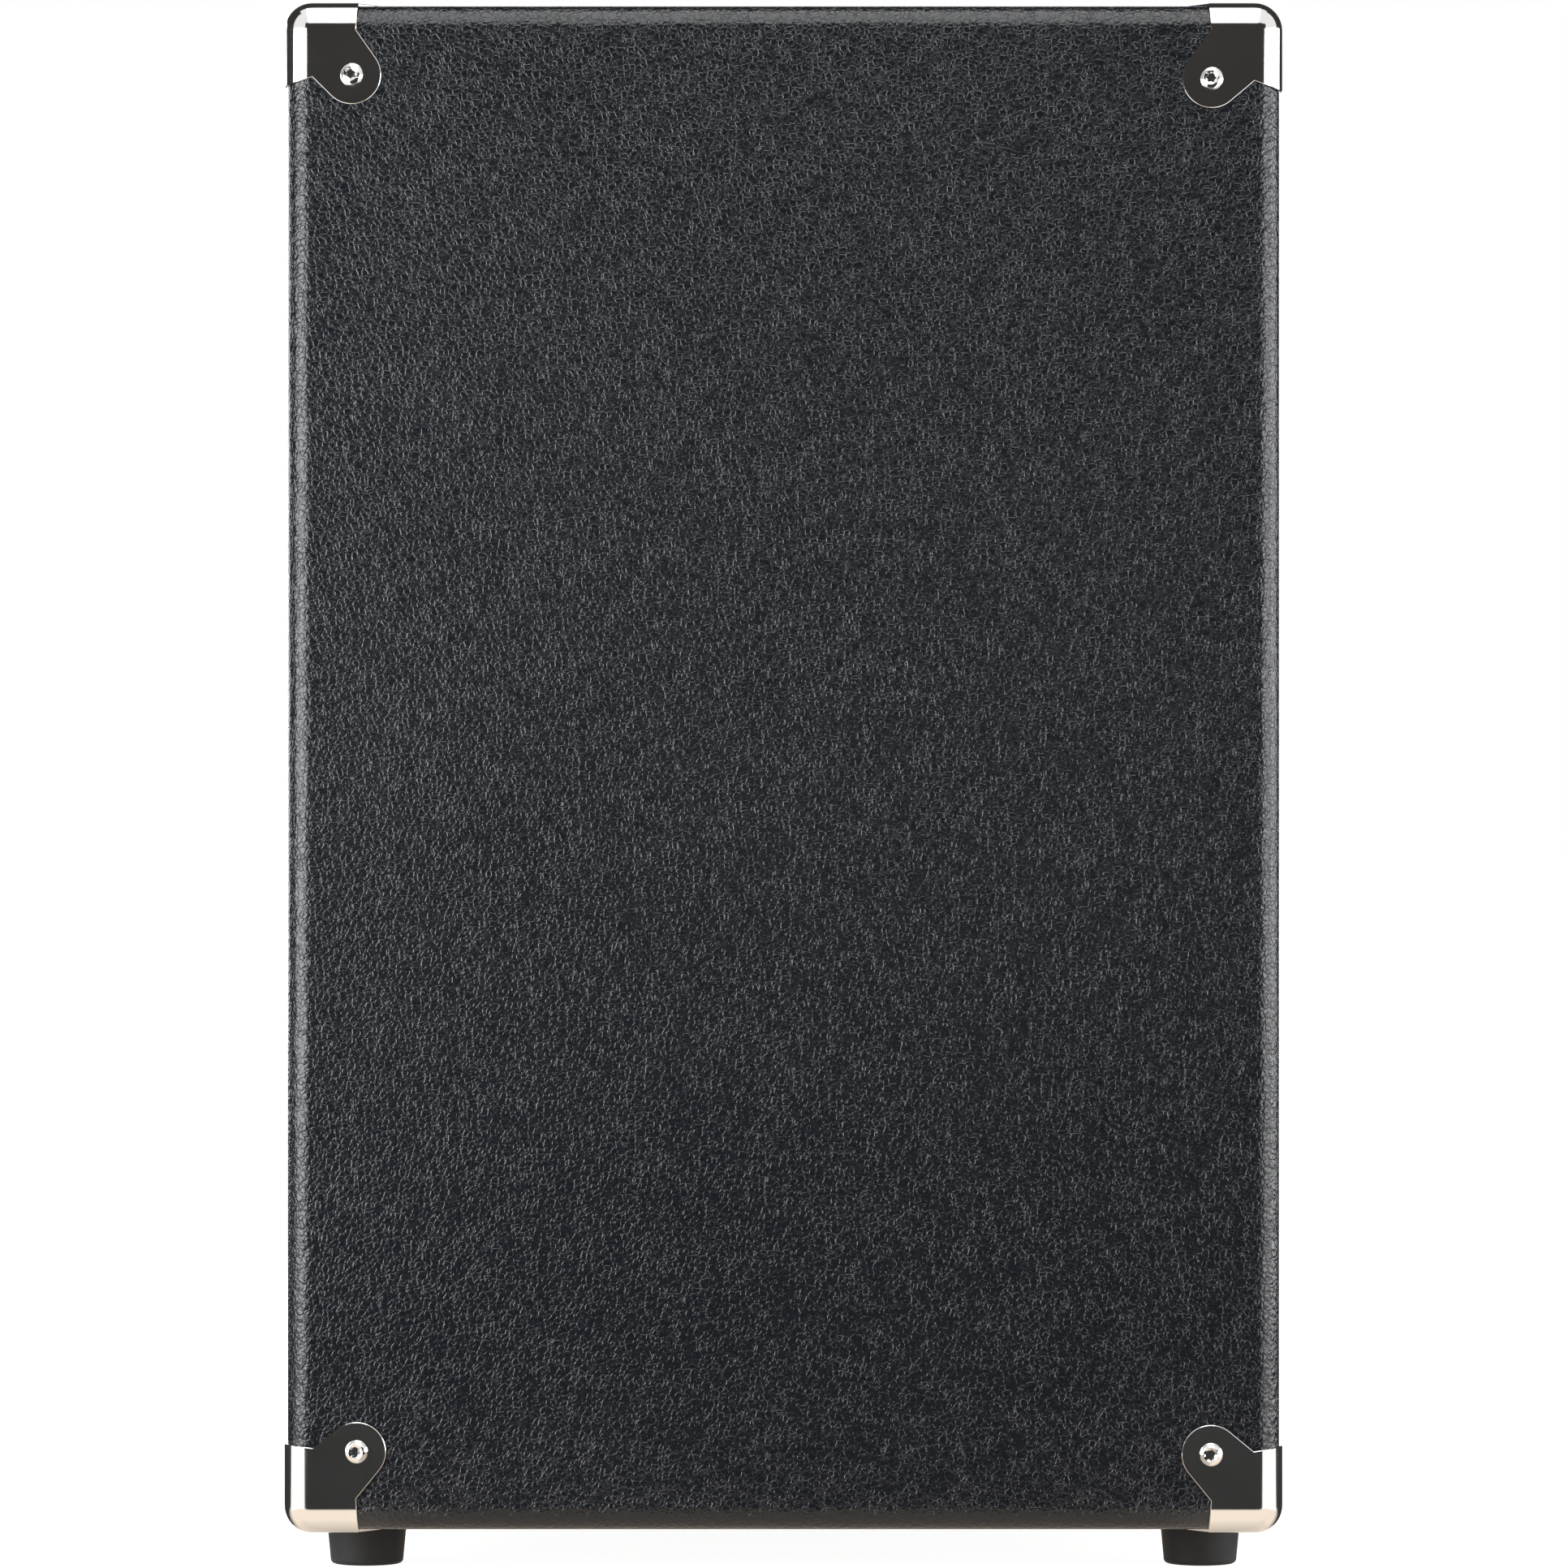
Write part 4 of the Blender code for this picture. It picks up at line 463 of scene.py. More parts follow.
# painted dark zones that glossy pieces see in front of and beside the cabinet
frontDarkReflection = (((ahead * floorPlan['frontSpread'] - aside) * soft).clamp()
              * ((ahead - floorPlan['frontStart']) * soft).clamp()
              * ((floorPlan['frontEnd'] - ahead) * 2.0).clamp())
sideDarkReflection = (((-floorPlan['sideStart'] - ahead - aside * floorPlan['sideSpread']) * soft).clamp()
             * (aside * (soft * 2.0)).clamp() * ((floorPlan['sideEnd'] - aside) * 3.0).clamp())
# painted shade between the corners, seen only in reflections
betweenCorners = ((-floorPlan['between'] - aside) * (soft * 2.0)).clamp()
shade = (underneath * floorPlan['underShare']).atLeast(nearCream * betweenCorners * floorPlan['betweenShare'])
floorTone = floorFinish.blend(nearCream, floorTones['white'], floorTones['cream'])
floorTone = floorFinish.blend(shade, floorTone, (0, 0, 0))
floorTone = floorFinish.blend(frontDarkReflection.atLeast(sideDarkReflection), floorTone, floorTones['dark'])
# only glossy rays see these painted reflection and shade tones
floorTone = floorFinish.blend(floorGlossy, (0, 0, 0), floorTone)
floorFinish.put('Emission Color', floorFinish.blend(floorSeen, floorTone, floorTones['glow']))
floorFinish.put('Base Color', floorFinish.blend(floorGlossy, floorTones['color'], (0, 0, 0)))
floorFinish.material.cycles.emission_sampling = 'NONE'
floorMesh = bmesh.new()
bmesh.ops.create_circle(floorMesh, cap_ends=True, radius=25.0, segments=64)
floorData = bpy.data.meshes.new('studioFloor')
floorMesh.to_mesh(floorData)
floorMesh.free()
floorData.materials.append(floorFinish.material)
floor = bpy.data.objects.new('studioFloor', floorData)
bpy.context.scene.collection.objects.link(floor)

# dark flags that only glossy surfaces show: one behind the camera, one beyond each side and one above
flagFinish = Finish('darkFlag', (0, 0, 0), 1.0, Emission_Color=(0.040, 0.039, 0.038), Emission_Strength=1.0,
                    Specular_IOR_Level=0.0)
flagFinish.material.cycles.emission_sampling = 'NONE'


def darkFlag(name, middle, turn, size):
    mesh = bmesh.new()
    bmesh.ops.create_grid(mesh, x_segments=1, y_segments=1, size=0.5, matrix=Matrix.Diagonal((*size, 1, 1)))
    data = bpy.data.meshes.new(name)
    mesh.to_mesh(data)
    mesh.free()
    data.materials.append(flagFinish.material)
    flag = bpy.data.objects.new(name, data)
    flag.location = middle
    flag.rotation_euler = turn
    flag.visible_camera = False
    flag.visible_diffuse = False
    flag.visible_shadow = False
    bpy.context.scene.collection.objects.link(flag)


flags = {
    'flagCamera': {'middle': (7.0, 1.6, 2.05), 'turn': (0, radians(90), 0), 'size': (4.7, 10.4)},
    'flagLeft': {'middle': (-1.68, -1.40, 1.1), 'turn': (radians(90), 0, 0), 'size': (4.2, 3.0)},
    'flagRight': {'middle': (-2.15, 1.66, 1.3), 'turn': (radians(90), 0, 0), 'size': (4.2, 3.4)},
    'flagAbove': {'middle': (-2.33, 0, 2.35), 'turn': (0, 0, 0), 'size': (4.2, 3.2)},
}
for name, setup in flags.items():
    darkFlag(name, **setup)
print("camera and studio set")


covering = {'radius': 0.0095, 'edgeSteps': 12, 'innerSteps': 6, 'board': 0.0176, 'frontDepth': 0.047,
            'rearDepth': 0.027, 'skin': 0.001, 'past': 0.02, 'mouthRound': 0.00084}


def makeCovering():
    # a thin skin round the boards, turned in at the front and rear mouths, where it lines them
    bm = block(coverLow, coverHigh, covering['radius'], covering['edgeSteps'])
    skin, side, past = covering['skin'], covering['board'], covering['past']
    inset = Vector((skin,) * 3)
    core = block(coverLow + inset, coverHigh - inset, covering['radius'] - skin, covering['innerSteps'])
    low = Vector((coverLow.x + side, coverLow.y - past, coverLow.z + side))
    high = Vector((coverHigh.x - side, coverHigh.y + past, coverHigh.z - side))
    lining = block((low.x - skin, coverLow.y + skin / 2, low.z - skin),
                   (high.x + skin, coverLow.y + covering['frontDepth'], high.z + skin))
    rearLining = block((low.x - skin, coverHigh.y - covering['rearDepth'], low.z - skin),
                       (high.x + skin, coverHigh.y - skin / 2, high.z + skin))
    shell = carve('coveringShell', bm, [core])
    shell = carve('coveringLined', shell, [lining, rearLining], 'UNION')
    shell = carve('coveringOpen', shell, [block(low, high)])
    # the board edges at the mouths are rounded over a little as well
    mouths = [e for e in sharpEdges(shell, 60.0)
              if any(all(abs(v.co.y - face) < 1e-5 for v in e.verts) for face in (coverLow.y, coverHigh.y))]
    bmesh.ops.bevel(shell, geom=mouths, offset=covering['mouthRound'], segments=3, profile=0.5,
                    affect='EDGES', material=-1)
    finishPiece('cabinetCovering', shell, grainVinyl, ('vinyl_covering',))


makeCovering()
print("covering made")


corner = {'outside': 0.0013, 'inside': 0.0003, 'radius': 0.0095, 'steps': 10, 'size': 0.060,
          'reachDepth': 0.0278, 'reachWidth': 0.0290, 'taper': 0.0007, 'lobe': 0.0114, 'lobeSteps': 26,
          'lip': 0.0155, 'lipShort': 0.0008, 'lipSlant': 0.0028, 'lipBend': 0.004, 'lipSteps': 6,
          'rim': 0.00062, 'shortest': 0.0004, 'wing': 0.0108, 'past': 0.012, 'cutDepth': 0.002,
          'topNear': 0.0268, 'topFar': 0.0295, 'screw': 0.00455, 'screwRise': 0.0023, 'screwSunk': 0.00042}

# pressed caps are not quite alike: where the lobe's centre lies along Y and Z, its two knees,
# and how far the wing reaches down the edge, by the side that the cap is on
capFits = {
    ('front', 'top'): {'lobe': (0.0254, 0.0275),
                       'nearKnee': 0.0101, 'farKnee': (0.0101, 0.0284), 'reach': 0.0314},
    ('rear', 'top'): {'lobe': (0.0268, 0.0290),
                      'nearKnee': 0.0102, 'farKnee': (0.0102, 0.0299), 'reach': 0.0333},
    ('front', 'bottom'): {'lobe': (0.0273, 0.0311),
                          'nearKnee': 0.0128, 'farKnee': (0.0106, 0.0324), 'reach': 0.0337},
    ('rear', 'bottom'): {'lobe': (0.0271, 0.0300),
                         'nearKnee': 0.0120, 'farKnee': (0.0105, 0.0311), 'reach': 0.0327},
}


def edgeTangent(point, centre, radius, side):
    # the turn at which a line from the point touches the circle
    away = Vector(point) - Vector(centre)
    return atan2(away.y, away.x) + side * acos(radius / away.length)


def lobeOutline(near, nearKnee, farKnee, reach, centre):
    # a wing along each edge of the face and a round lobe between them, joined by straight flanks
    past = corner['past']
    start = edgeTangent((near - corner['taper'], nearKnee), centre, corner['lobe'], 1)
    end = edgeTangent(farKnee, centre, corner['lobe'], -1)
    while end < start:
        end += 2 * pi
    steps = corner['lobeSteps']
    arc = [start + (end - start) * i / steps for i in range(steps + 1)]
    return [(-past, -past), (near, -past), (near, 0), (near - corner['taper'], nearKnee),
            *[(centre[0] + corner['lobe'] * cos(a), centre[1] + corner['lobe'] * sin(a)) for a in arc],
            farKnee, (0, reach), (-past, reach)]


def lipOutline(height):
    # an L round the mouth of the cabinet
    past, width, lip = corner['past'], corner['reachWidth'], corner['lip']
    bend, slant, steps = corner['lipBend'], corner['lipSlant'], corner['lipSteps']
    inner = [(lip + bend * (1 - cos(a)), lip + bend * (1 - sin(a)))
             for a in [pi / 2 * i / steps for i in range(steps, -1, -1)]]
    return [(-past, -past), (width, -past), (width, 0), (width - slant, lip), *inner,
            (lip, height - slant), (0, height), (-past, height)]


def cornerBlock(outside, size):
    bm = bmesh.new()
    middle = (size - outside) / 2
    place = Matrix.Translation((middle,) * 3) @ Matrix.Scale(size + outside, 4)
    bmesh.ops.create_cube(bm, size=1, matrix=place)
    tip = min(bm.verts, key=lambda v: v.co.x + v.co.y + v.co.z)
    bmesh.ops.bevel(bm, geom=[*tip.link_edges, tip], offset=corner['radius'] + outside,
                    segments=corner['steps'], profile=0.5, affect='EDGES', material=-1)
    return bm


def capDepth(co):
    # how far a point stands out from the rounding's centre; tells the outer skin from the inner one
    return Vector([max(corner['radius'] - c, 0.0) for c in co]).length


def makeCornerShape(fit):
    between = corner['radius'] + (corner['outside'] + corner['inside']) / 2
    past, wing, reach = corner['past'], corner['wing'], corner['reachDepth']
    # local X goes to Y and local Y to Z on the side face; Z points into the cabinet
    toSide = Matrix(((0, 0, 1, 0), (1, 0, 0, 0), (0, 1, 0, 0), (0, 0, 0, 1)))
    toLip = Matrix(((1, 0, 0, 0), (0, 0, 1, 0), (0, 1, 0, 0), (0, 0, 0, 1)))
    outline = lobeOutline(reach, fit['nearKnee'], fit['farKnee'], fit['reach'], fit['lobe'])
    sideLobe = prism(outline, -past, wing)
    sideLobe.transform(toSide)
    outline = lobeOutline(corner['reachWidth'], wing, (wing, reach - corner['taper']), reach,
                          (corner['topFar'], corner['topNear']))
    topLobe = prism(outline, -past, corner['cutDepth'])
    lip = prism(lipOutline(fit['reach'] - corner['lipShort']), -past, corner['cutDepth'])
    lip.transform(toLip)
    bmesh.ops.recalc_face_normals(lip, faces=lip.faces[:])
    stencil = carve('cornerStencil', sideLobe, [topLobe, lip], 'UNION')
    shell = carve('cornerShell', cornerBlock(corner['outside'], corner['size']),
                  [cornerBlock(corner['inside'], corner['size'] + past)])
    shape = carve('cornerShape', shell, [stencil], 'INTERSECT')
    bmesh.ops.dissolve_limit(shape, angle_limit=radians(0.5), verts=shape.verts[:], edges=shape.edges[:])
    # crossings of the outlines leave very short edges, which a bevel can't pass
    bmesh.ops.remove_doubles(shape, verts=shape.verts[:], dist=corner['shortest'])
    outerRim = [e for e in sharpEdges(shape, 55.0) if all(capDepth(v.co) > between for v in e.verts)]
    bmesh.ops.bevel(shape, geom=outerRim, offset=corner['rim'], segments=1, profile=0.5, affect='EDGES',
                    material=-1, clamp_overlap=True)
    return shape


def makeScrew(radius, rise, recess=0.0020, dish=0.0030):
    # a domed head with a dished middle and a cross recess
    dome = [(0, rise), (radius * 0.35, rise * 0.99), (radius * 0.62, rise * 0.92),
            (radius * 0.82, rise * 0.74), (radius * 0.94, rise * 0.46), (radius, rise * 0.16),
            (radius * 0.99, 0), (radius * 0.97, -0.0007), (0, -0.0007)]
    star = []
    for i in range(24):
        reach = recess * (1.0 if i % 4 in (0, 1) else 0.80)
        star.append((reach * cos(2 * pi * i / 24), reach * sin(2 * pi * i / 24)))
    bowl = lathe([(0, rise * 0.70), (recess, rise * 0.72), (dish, rise * 0.96), (dish, rise * 1.5),
                  (0, rise * 1.5)], 36)
    head = carve('screwHead', lathe(dome, 36), [bowl, prism(star, rise * 0.15, rise * 2)])
    crown = [e for e in sharpEdges(head, 50.0) if e.verts[0].co.z > rise * 0.5]
    bmesh.ops.bevel(head, geom=crown, offset=0.00012, segments=2, profile=0.5, affect='EDGES', material=-1,
                    clamp_overlap=True)
    mesh = bpy.data.meshes.new('screwPattern')
    head.to_mesh(mesh)
    head.free()
    return mesh


def placeMesh(bm, mesh, matrix):
    copy = bmesh.new()
    copy.from_mesh(mesh)
    joinTo(bm, copy, matrix)


cornerPatterns = {}
for place, fit in capFits.items():
    cornerShape = makeCornerShape(fit)
    cornerPatterns[place] = bpy.data.meshes.new('cornerPattern')
    cornerShape.to_mesh(cornerPatterns[place])
    cornerShape.free()
capScrew = makeScrew(corner['screw'], corner['screwRise'])
screwsOfCaps = bmesh.new()
for xSide, xName in ((-1, 'left'), (1, 'right')):
    for ySide, yName in ((-1, 'front'), (1, 'rear')):
        for zSide, zName in ((-1, 'bottom'), (1, 'top')):
            tip = Vector((coverLow.x if xSide < 0 else coverHigh.x, coverLow.y if ySide < 0 else coverHigh.y,
                          coverLow.z if zSide < 0 else coverHigh.z))
            cap = bmesh.new()
            cap.from_mesh(cornerPatterns[(yName, zName)])
            cap.transform(Matrix.Translation(tip) @ Matrix.Diagonal((-xSide, -ySide, -zSide, 1)))
            spot = f'{yName}_{zName}_{xName}'
            finishPiece('cap_' + spot, cap, polishedNickel, ('corner_' + spot,), angle=32.0)
            sit = corner['outside'] - corner['screwSunk']
            alongY, alongZ = capFits[(yName, zName)]['lobe']
            sidePlace = tip + Vector((xSide * sit, -ySide * alongY, -zSide * alongZ))
            topPlace = tip + Vector((-xSide * corner['topFar'], -ySide * corner['topNear'], zSide * sit))
            # no screw sits quite square
            spin = Matrix.Rotation(0.7 * xSide + 1.3 * ySide + 0.4 * zSide, 4, 'Z')
            lean = Matrix.Rotation(radians(11.0 + 2.0 * zSide), 4, (1.0, -0.45 - 0.35 * zSide, 0.0))
            outwards = Matrix.Rotation(radians(90) * xSide, 4, 'Y')
            placeMesh(screwsOfCaps, capScrew, Matrix.Translation(sidePlace) @ outwards @ lean @ spin)
            facing = upwards if zSide > 0 else downwards
            placeMesh(screwsOfCaps, capScrew,
                      Matrix.Translation(topPlace) @ facing @ Matrix.Diagonal((1, 1, 0.6, 1)) @ spin)
finishPiece('capScrews', screwsOfCaps, polishedNickel)
print("corner caps made")


foot = {'edge': 0.0018, 'edgeSteps': 6, 'taper': 0.0012, 'recess': 0.0062, 'recessDepth': 0.0085, 'steps': 64}


def makeFoot(node):
    low, high = boxOf(node)
    middle = (low + high) / 2
    top = high.z
    wide = (high.x - low.x) / 2
    base = wide - foot['taper']
    edge, steps, recess, deep = foot['edge'], foot['edgeSteps'], foot['recess'], foot['recessDepth']
    curve = [(base - edge + edge * cos(a), edge - edge * sin(a))
             for a in [pi / 2 * i / steps for i in range(steps + 1)]]
    profile = [(0, top), (wide - 0.0004, top), (wide, top - 0.0004), (wide, top * 0.74),
               (wide - 0.0002, top * 0.70), *curve, (recess + 0.0006, 0), (recess, 0.0006),
               (recess - 0.0003, deep), (0, deep)]
    bm = lathe(profile, foot['steps'])
    bm.transform(Matrix.Translation((middle.x, middle.y, 0)))
    finishPiece('rubber_' + node, bm, footRubber, (node,))
    screw = bmesh.new()
    placeMesh(screw, capScrew, Matrix.Translation((middle.x, middle.y, deep)) @ downwards)
    finishPiece('screw_' + node, screw, zincSteel)


for node in ('foot_front_left', 'foot_front_right', 'foot_rear_left', 'foot_rear_right'):
    makeFoot(node)
print("feet made")


strap = {'rise': 0.0135, 'flat': 0.038, 'bend': 0.025, 'width': 0.024, 'thick': 0.006, 'rounding': 0.0021,
         'cuts': 72}


def makeStrap():
    low, high = boxOf('handle_strap')
    start = low.z + strap['thick'] / 2
    bm = bmesh.new()
    bmesh.ops.create_cube(bm, size=1, matrix=Matrix.Translation(((low.x + high.x) / 2, 0, start))
                          @ Matrix.Diagonal((high.x - low.x, strap['width'], strap['thick'], 1)))
    bmesh.ops.bevel(bm, geom=[e for e in bm.edges if abs(e.verts[0].co.x - e.verts[1].co.x) > 0.01],
                    offset=strap['rounding'], segments=5, profile=0.5, affect='EDGES', material=-1)
    # the straight bar is cut across, and each cut is then lifted and turned along the bow
    for i in range(1, strap['cuts']):
        x = low.x + (high.x - low.x) * i / strap['cuts']
        bmesh.ops.bisect_plane(bm, geom=bm.verts[:] + bm.edges[:] + bm.faces[:], plane_co=(x, 0, 0),
                               plane_no=(1, 0, 0))

    def lift(x):
        along = min(max((abs(x) - strap['flat']) / strap['bend'], 0), 1)
        return strap['rise'] * (1 + cos(pi * along)) / 2

    for v in bm.verts:
        x = v.co.x
        up = v.co.z - start
        slope = atan2(lift(x + 0.0005) - lift(x - 0.0005), 0.001)
        v.co = Vector((x - sin(slope) * up, v.co.y, start + lift(x) + cos(slope) * up))
    finishPiece('carryStrap', bm, strapRubber, ('handle_strap',))


makeStrap()
strapEnd = {'wall': 0.0015, 'endWall': 0.0055, 'rounding': 0.0022, 'past': 0.02, 'sunk': 0.004,
            'screwAside': 0.004}
for side, name in ((-1, 'left'), (1, 'right')):
    node = 'handle_cap_' + name
    low, high = boxOf(node)
    outer = block(low - Vector((0, 0, strapEnd['sunk'])), high, strapEnd['rounding'], 5)
    slotEnd = (high.x - strapEnd['endWall']) if side > 0 else (low.x + strapEnd['endWall'])
    ends = sorted((slotEnd, low.x - strapEnd['past'] if side > 0 else high.x + strapEnd['past']))
    wall = strapEnd['wall']
    slotCut = block((ends[0], low.y + wall, low.z - strapEnd['past']),
                    (ends[1], high.y - wall, high.z - wall), 0.0009, 2)
    footCut = block((low.x - 0.01, low.y - 0.01, low.z - strapEnd['past']),
                    (high.x + 0.01, high.y + 0.01, low.z))
    capShape = carve('strapEnd', outer, [footCut, slotCut])
    finishPiece('strapEnd_' + name, capShape, polishedNickel, (node,))
    screw = bmesh.new()
    place = Vector(((low.x + high.x) / 2 + side * strapEnd['screwAside'], 0, high.z - 0.00005))
    placeMesh(screw, capScrew, Matrix.Translation(place) @ Matrix.Diagonal((0.9, 0.9, 0.5, 1)))
    finishPiece('screw_' + node, screw, polishedNickel)
print("handle made")


grille = {'clothEdge': 0.0004, 'insideBend': 0.0042, 'bendSteps': 10, 'cordShare': 0.999, 'cordSteps': 5}


def makeGrille():
    low, high = boxOf('grille_cloth')
    bm = block(low, high, grille['clothEdge'], 2)
    cloth = finishPiece('grilleCloth', bm, speakerCloth, ('grille_cloth',))
    low, high = boxOf('grille_piping')
    # the piping is a round cord along a rectangle with rounded corners
    radius = (high.y - low.y) / 2
    middle = (low + high) / 2
    bend = grille['insideBend'] + radius
    frameLine = block((low.x + radius, middle.y - 0.001, low.z + radius),
                      (high.x - radius, middle.y + 0.001, high.z - radius))
    upright = [e for e in frameLine.edges if abs(e.verts[0].co.y - e.verts[1].co.y) > 0.001]
    bmesh.ops.bevel(frameLine, geom=upright, offset=bend, segments=grille['bendSteps'], profile=0.5,
                    affect='EDGES', material=-1)
    front = min(frameLine.faces, key=lambda f: f.calc_center_median().y)
    path = [v.co.copy() for v in front.verts]
    frameLine.free()
    curve = bpy.data.curves.new('pipingCurve', 'CURVE')
    curve.dimensions = '3D'
    curve.bevel_depth = radius * grille['cordShare']
    curve.bevel_resolution = grille['cordSteps']
    line = curve.splines.new('POLY')
    line.points.add(len(path) - 1)
    for point, place in zip(line.points, path):
        point.co = (place.x, middle.y, place.z, 1)
    line.use_cyclic_u = True
    holder = bpy.data.objects.new('pipingCurve', curve)
    bpy.context.scene.collection.objects.link(holder)
    bpy.context.view_layer.update()
    mesh = bpy.data.meshes.new_from_object(holder.evaluated_get(bpy.context.evaluated_depsgraph_get()))
    bpy.data.objects.remove(holder)
    bpy.data.curves.remove(curve)
    tube = bmesh.new()
    tube.from_mesh(mesh)
    bpy.data.meshes.remove(mesh)
    finishPiece('grillePiping', tube, pipingVinyl, ('grille_piping',))


makeGrille()
print("grille made")


dial = {'knob': 0.0105, 'grip': 0.0079, 'height': 0.0168, 'skirt': 0.0036, 'flutes': 15, 'lift': 0.0008,
        'hollow': 0.0068, 'shaft': 0.0029, 'lineHalf': 0.0006, 'tickIn': 0.0128, 'tickOut': 0.0146,
        'tickHalf': 0.0002, 'digits': 0.0176, 'digitSize': 0.0042, 'sweep': 150.0,
        'panelScrewSide': 0.008, 'panelScrewEdge': 0.009, 'panelScrewScale': 0.62}
knobNames = ['gain', 'bass', 'low_mid', 'high_mid', 'treble', 'master']
panelLow, panelHigh = boxOf('control_panel')
panelFace = panelLow.y
panelMiddle = (panelLow.z + panelHigh.z) / 2


def makeKnob(name):
    centre = middleOf('knob_' + name)
    lift, face = dial['lift'], dial['lift'] + dial['height']
    grip, skirt = dial['grip'], dial['skirt']
    wide, hollow, shaft = dial['knob'], dial['hollow'], dial['shaft']
    body = [(0, face - 0.0003), (grip * 0.55, face - 0.0003), (grip * 0.80, face),
            (grip * 0.90, face - 0.0002), (grip * 0.97, face - 0.0009), (grip, face - 0.0018),
            (grip + 0.0003, lift + skirt + 0.0006), (grip + 0.0008, lift + skirt),
            (wide - 0.0004, lift + skirt - 0.0005), (wide, lift + skirt - 0.0012), (wide, lift),
            (hollow, lift), (hollow, lift + 0.0032), (shaft, lift + 0.0032), (shaft, -0.0065), (0, -0.0065)]
    bm = lathe(body, dial['flutes'] * 6)
    # flutes: every few columns of the grip are drawn in
    for v in bm.verts:
        reach = hypot(v.co.x, v.co.y)
        if reach > grip * 0.93 and lift + skirt + 0.0003 < v.co.z < face - 0.0004:
            turn = atan2(v.co.y, v.co.x) * dial['flutes']
            squeeze = 1 - 0.055 * max(0.0, cos(turn)) ** 2
            v.co.x *= squeeze
            v.co.y *= squeeze
    place = Matrix.Translation((centre.x, panelFace, panelMiddle)) @ towardsFront
    bm.transform(place)
    finishPiece('dial_' + name, bm, blackPlastic, ('knob_' + name,), f'knob_{name}_body', 40)
    # the pointer runs over the top and down the grip
    half = dial['lineHalf']
    line = block((-half, grip * 0.12, face - 0.0009), (half, grip * 0.93, face + 0.00025), 0.0002, 2)
    lower = block((-half, grip * 0.90, lift + skirt), (half, grip + 0.0005, face - 0.0008), 0.0002, 2)
    joinTo(line, lower)
    line.transform(place)
    finishPiece('line_' + name, line, markWhite, (), f'knob_{name}_body')


def textMesh(words, size, matrix):
    data = bpy.data.curves.new('marks', 'FONT')
    data.body = words
    data.size = size
    data.align_x = 'CENTER'
    data.align_y = 'CENTER'
    data.extrude = 0.00004
    holder = bpy.data.objects.new('marks', data)
    bpy.context.scene.collection.objects.link(holder)
    bpy.context.view_layer.update()
    mesh = bpy.data.meshes.new_from_object(holder.evaluated_get(bpy.context.evaluated_depsgraph_get()))
    bpy.data.objects.remove(holder)
    bpy.data.curves.remove(data)
    mesh.transform(matrix)
    return mesh


def makePanel():
    marks = bmesh.new()
    half = dial['tickHalf']
    for name in knobNames:
        centre = middleOf('knob_' + name)
        base = Matrix.Translation((centre.x, panelFace - 0.00004, panelMiddle)) @ towardsFront
        for i in range(11):
            turn = radians(dial['sweep'] - i * 2 * dial['sweep'] / 10)
            tick = block((-half, dial['tickIn'], 0), (half, dial['tickOut'], 0.00006))
            joinTo(marks, tick, base @ Matrix.Rotation(turn, 4, 'Z'))
            if i in (0, 5, 10):
                spot = (-sin(turn) * dial['digits'], cos(turn) * dial['digits'], 0)
                mesh = textMesh(str(i), dial['digitSize'], base @ Matrix.Translation(spot))
                marks.from_mesh(mesh)
                bpy.data.meshes.remove(mesh)
    finishPiece('dialMarks', marks, markWhite)
    low, high = panelLow, panelHigh
    side, edge = dial['panelScrewSide'], dial['panelScrewEdge']
    small = Matrix.Diagonal((*[dial['panelScrewScale']] * 3, 1))
    screws = bmesh.new()
    for x in (low.x + side, high.x - side):
        for z in (low.z + edge, high.z - edge):
            placeMesh(screws, capScrew, Matrix.Translation((x, panelFace, z)) @ towardsFront @ small)
    finishPiece('panelScrews', screws, darkMetal)
    softenedNode('control_panel', panelPaint, 0.0003)


jack = {'top': 0.0026, 'bore': 0.0035, 'boreDepth': 0.027, 'sleeve': 0.0050, 'body': 0.0092,
        'bodyDepth': 0.0282, 'gap': 0.0003, 'nut': 0.0078, 'washerTop': 0.0008}


def makeJack(node, facing, face, wall):
    # the socket's front stands out of the panel and its body lies behind the wall
    centre = middleOf(node)
    top, bore, sleeve, body, gap = [jack[key] for key in ('top', 'bore', 'sleeve', 'body', 'gap')]
    inside, back = top - jack['boreDepth'], -wall - jack['bodyDepth']
    profile = [(0, inside), (bore, inside), (bore, top - 0.0004), (bore + 0.0004, top),
               (sleeve - 0.0002, top), (sleeve, top - 0.0003), (sleeve, 0.00035), (sleeve, -wall - gap),
               (body, -wall - gap), (body, back), (0, back)]
    bm = lathe(profile, 48)
    bm.transform(Matrix.Translation((centre.x, face, panelMiddle)) @ facing)
    finishPiece('socket_' + node, bm, blackPlastic, (node,))
    # a hexagon nut with rounded corners, on a flat washer
    nut, low, high = jack['nut'], jack['gap'], jack['washerTop']
    hexagon = prism(circleOutline(nut, 6), high + 0.0001, top)
    domed = lathe([(0, 0.0034), (0.0058, 0.0030), (nut, 0.0019), (nut + 0.0001, 0.0005), (0, 0.0005)], 36)
    ring = carve('jackNut', hexagon, [domed], 'INTERSECT')
    ring = carve('jackNutBore', ring, [lathe([(0, 0.01), (sleeve, 0.01), (sleeve, -0.01), (0, -0.01)], 36)])
    soften(ring, 0.00015)
    inner = sleeve + 0.0001
    joinTo(ring, ringLathe([(inner, low), (nut, low), (nut, high), (inner, high)], 48))
    ring.transform(Matrix.Translation((centre.x, face, panelMiddle)) @ facing)
    finishPiece('nut_' + node, ring, polishedNickel)


button = {'radius': 0.0040, 'proud': 0.0055, 'deep': 0.0080, 'ringIn': 0.0047, 'ringOut': 0.0062}


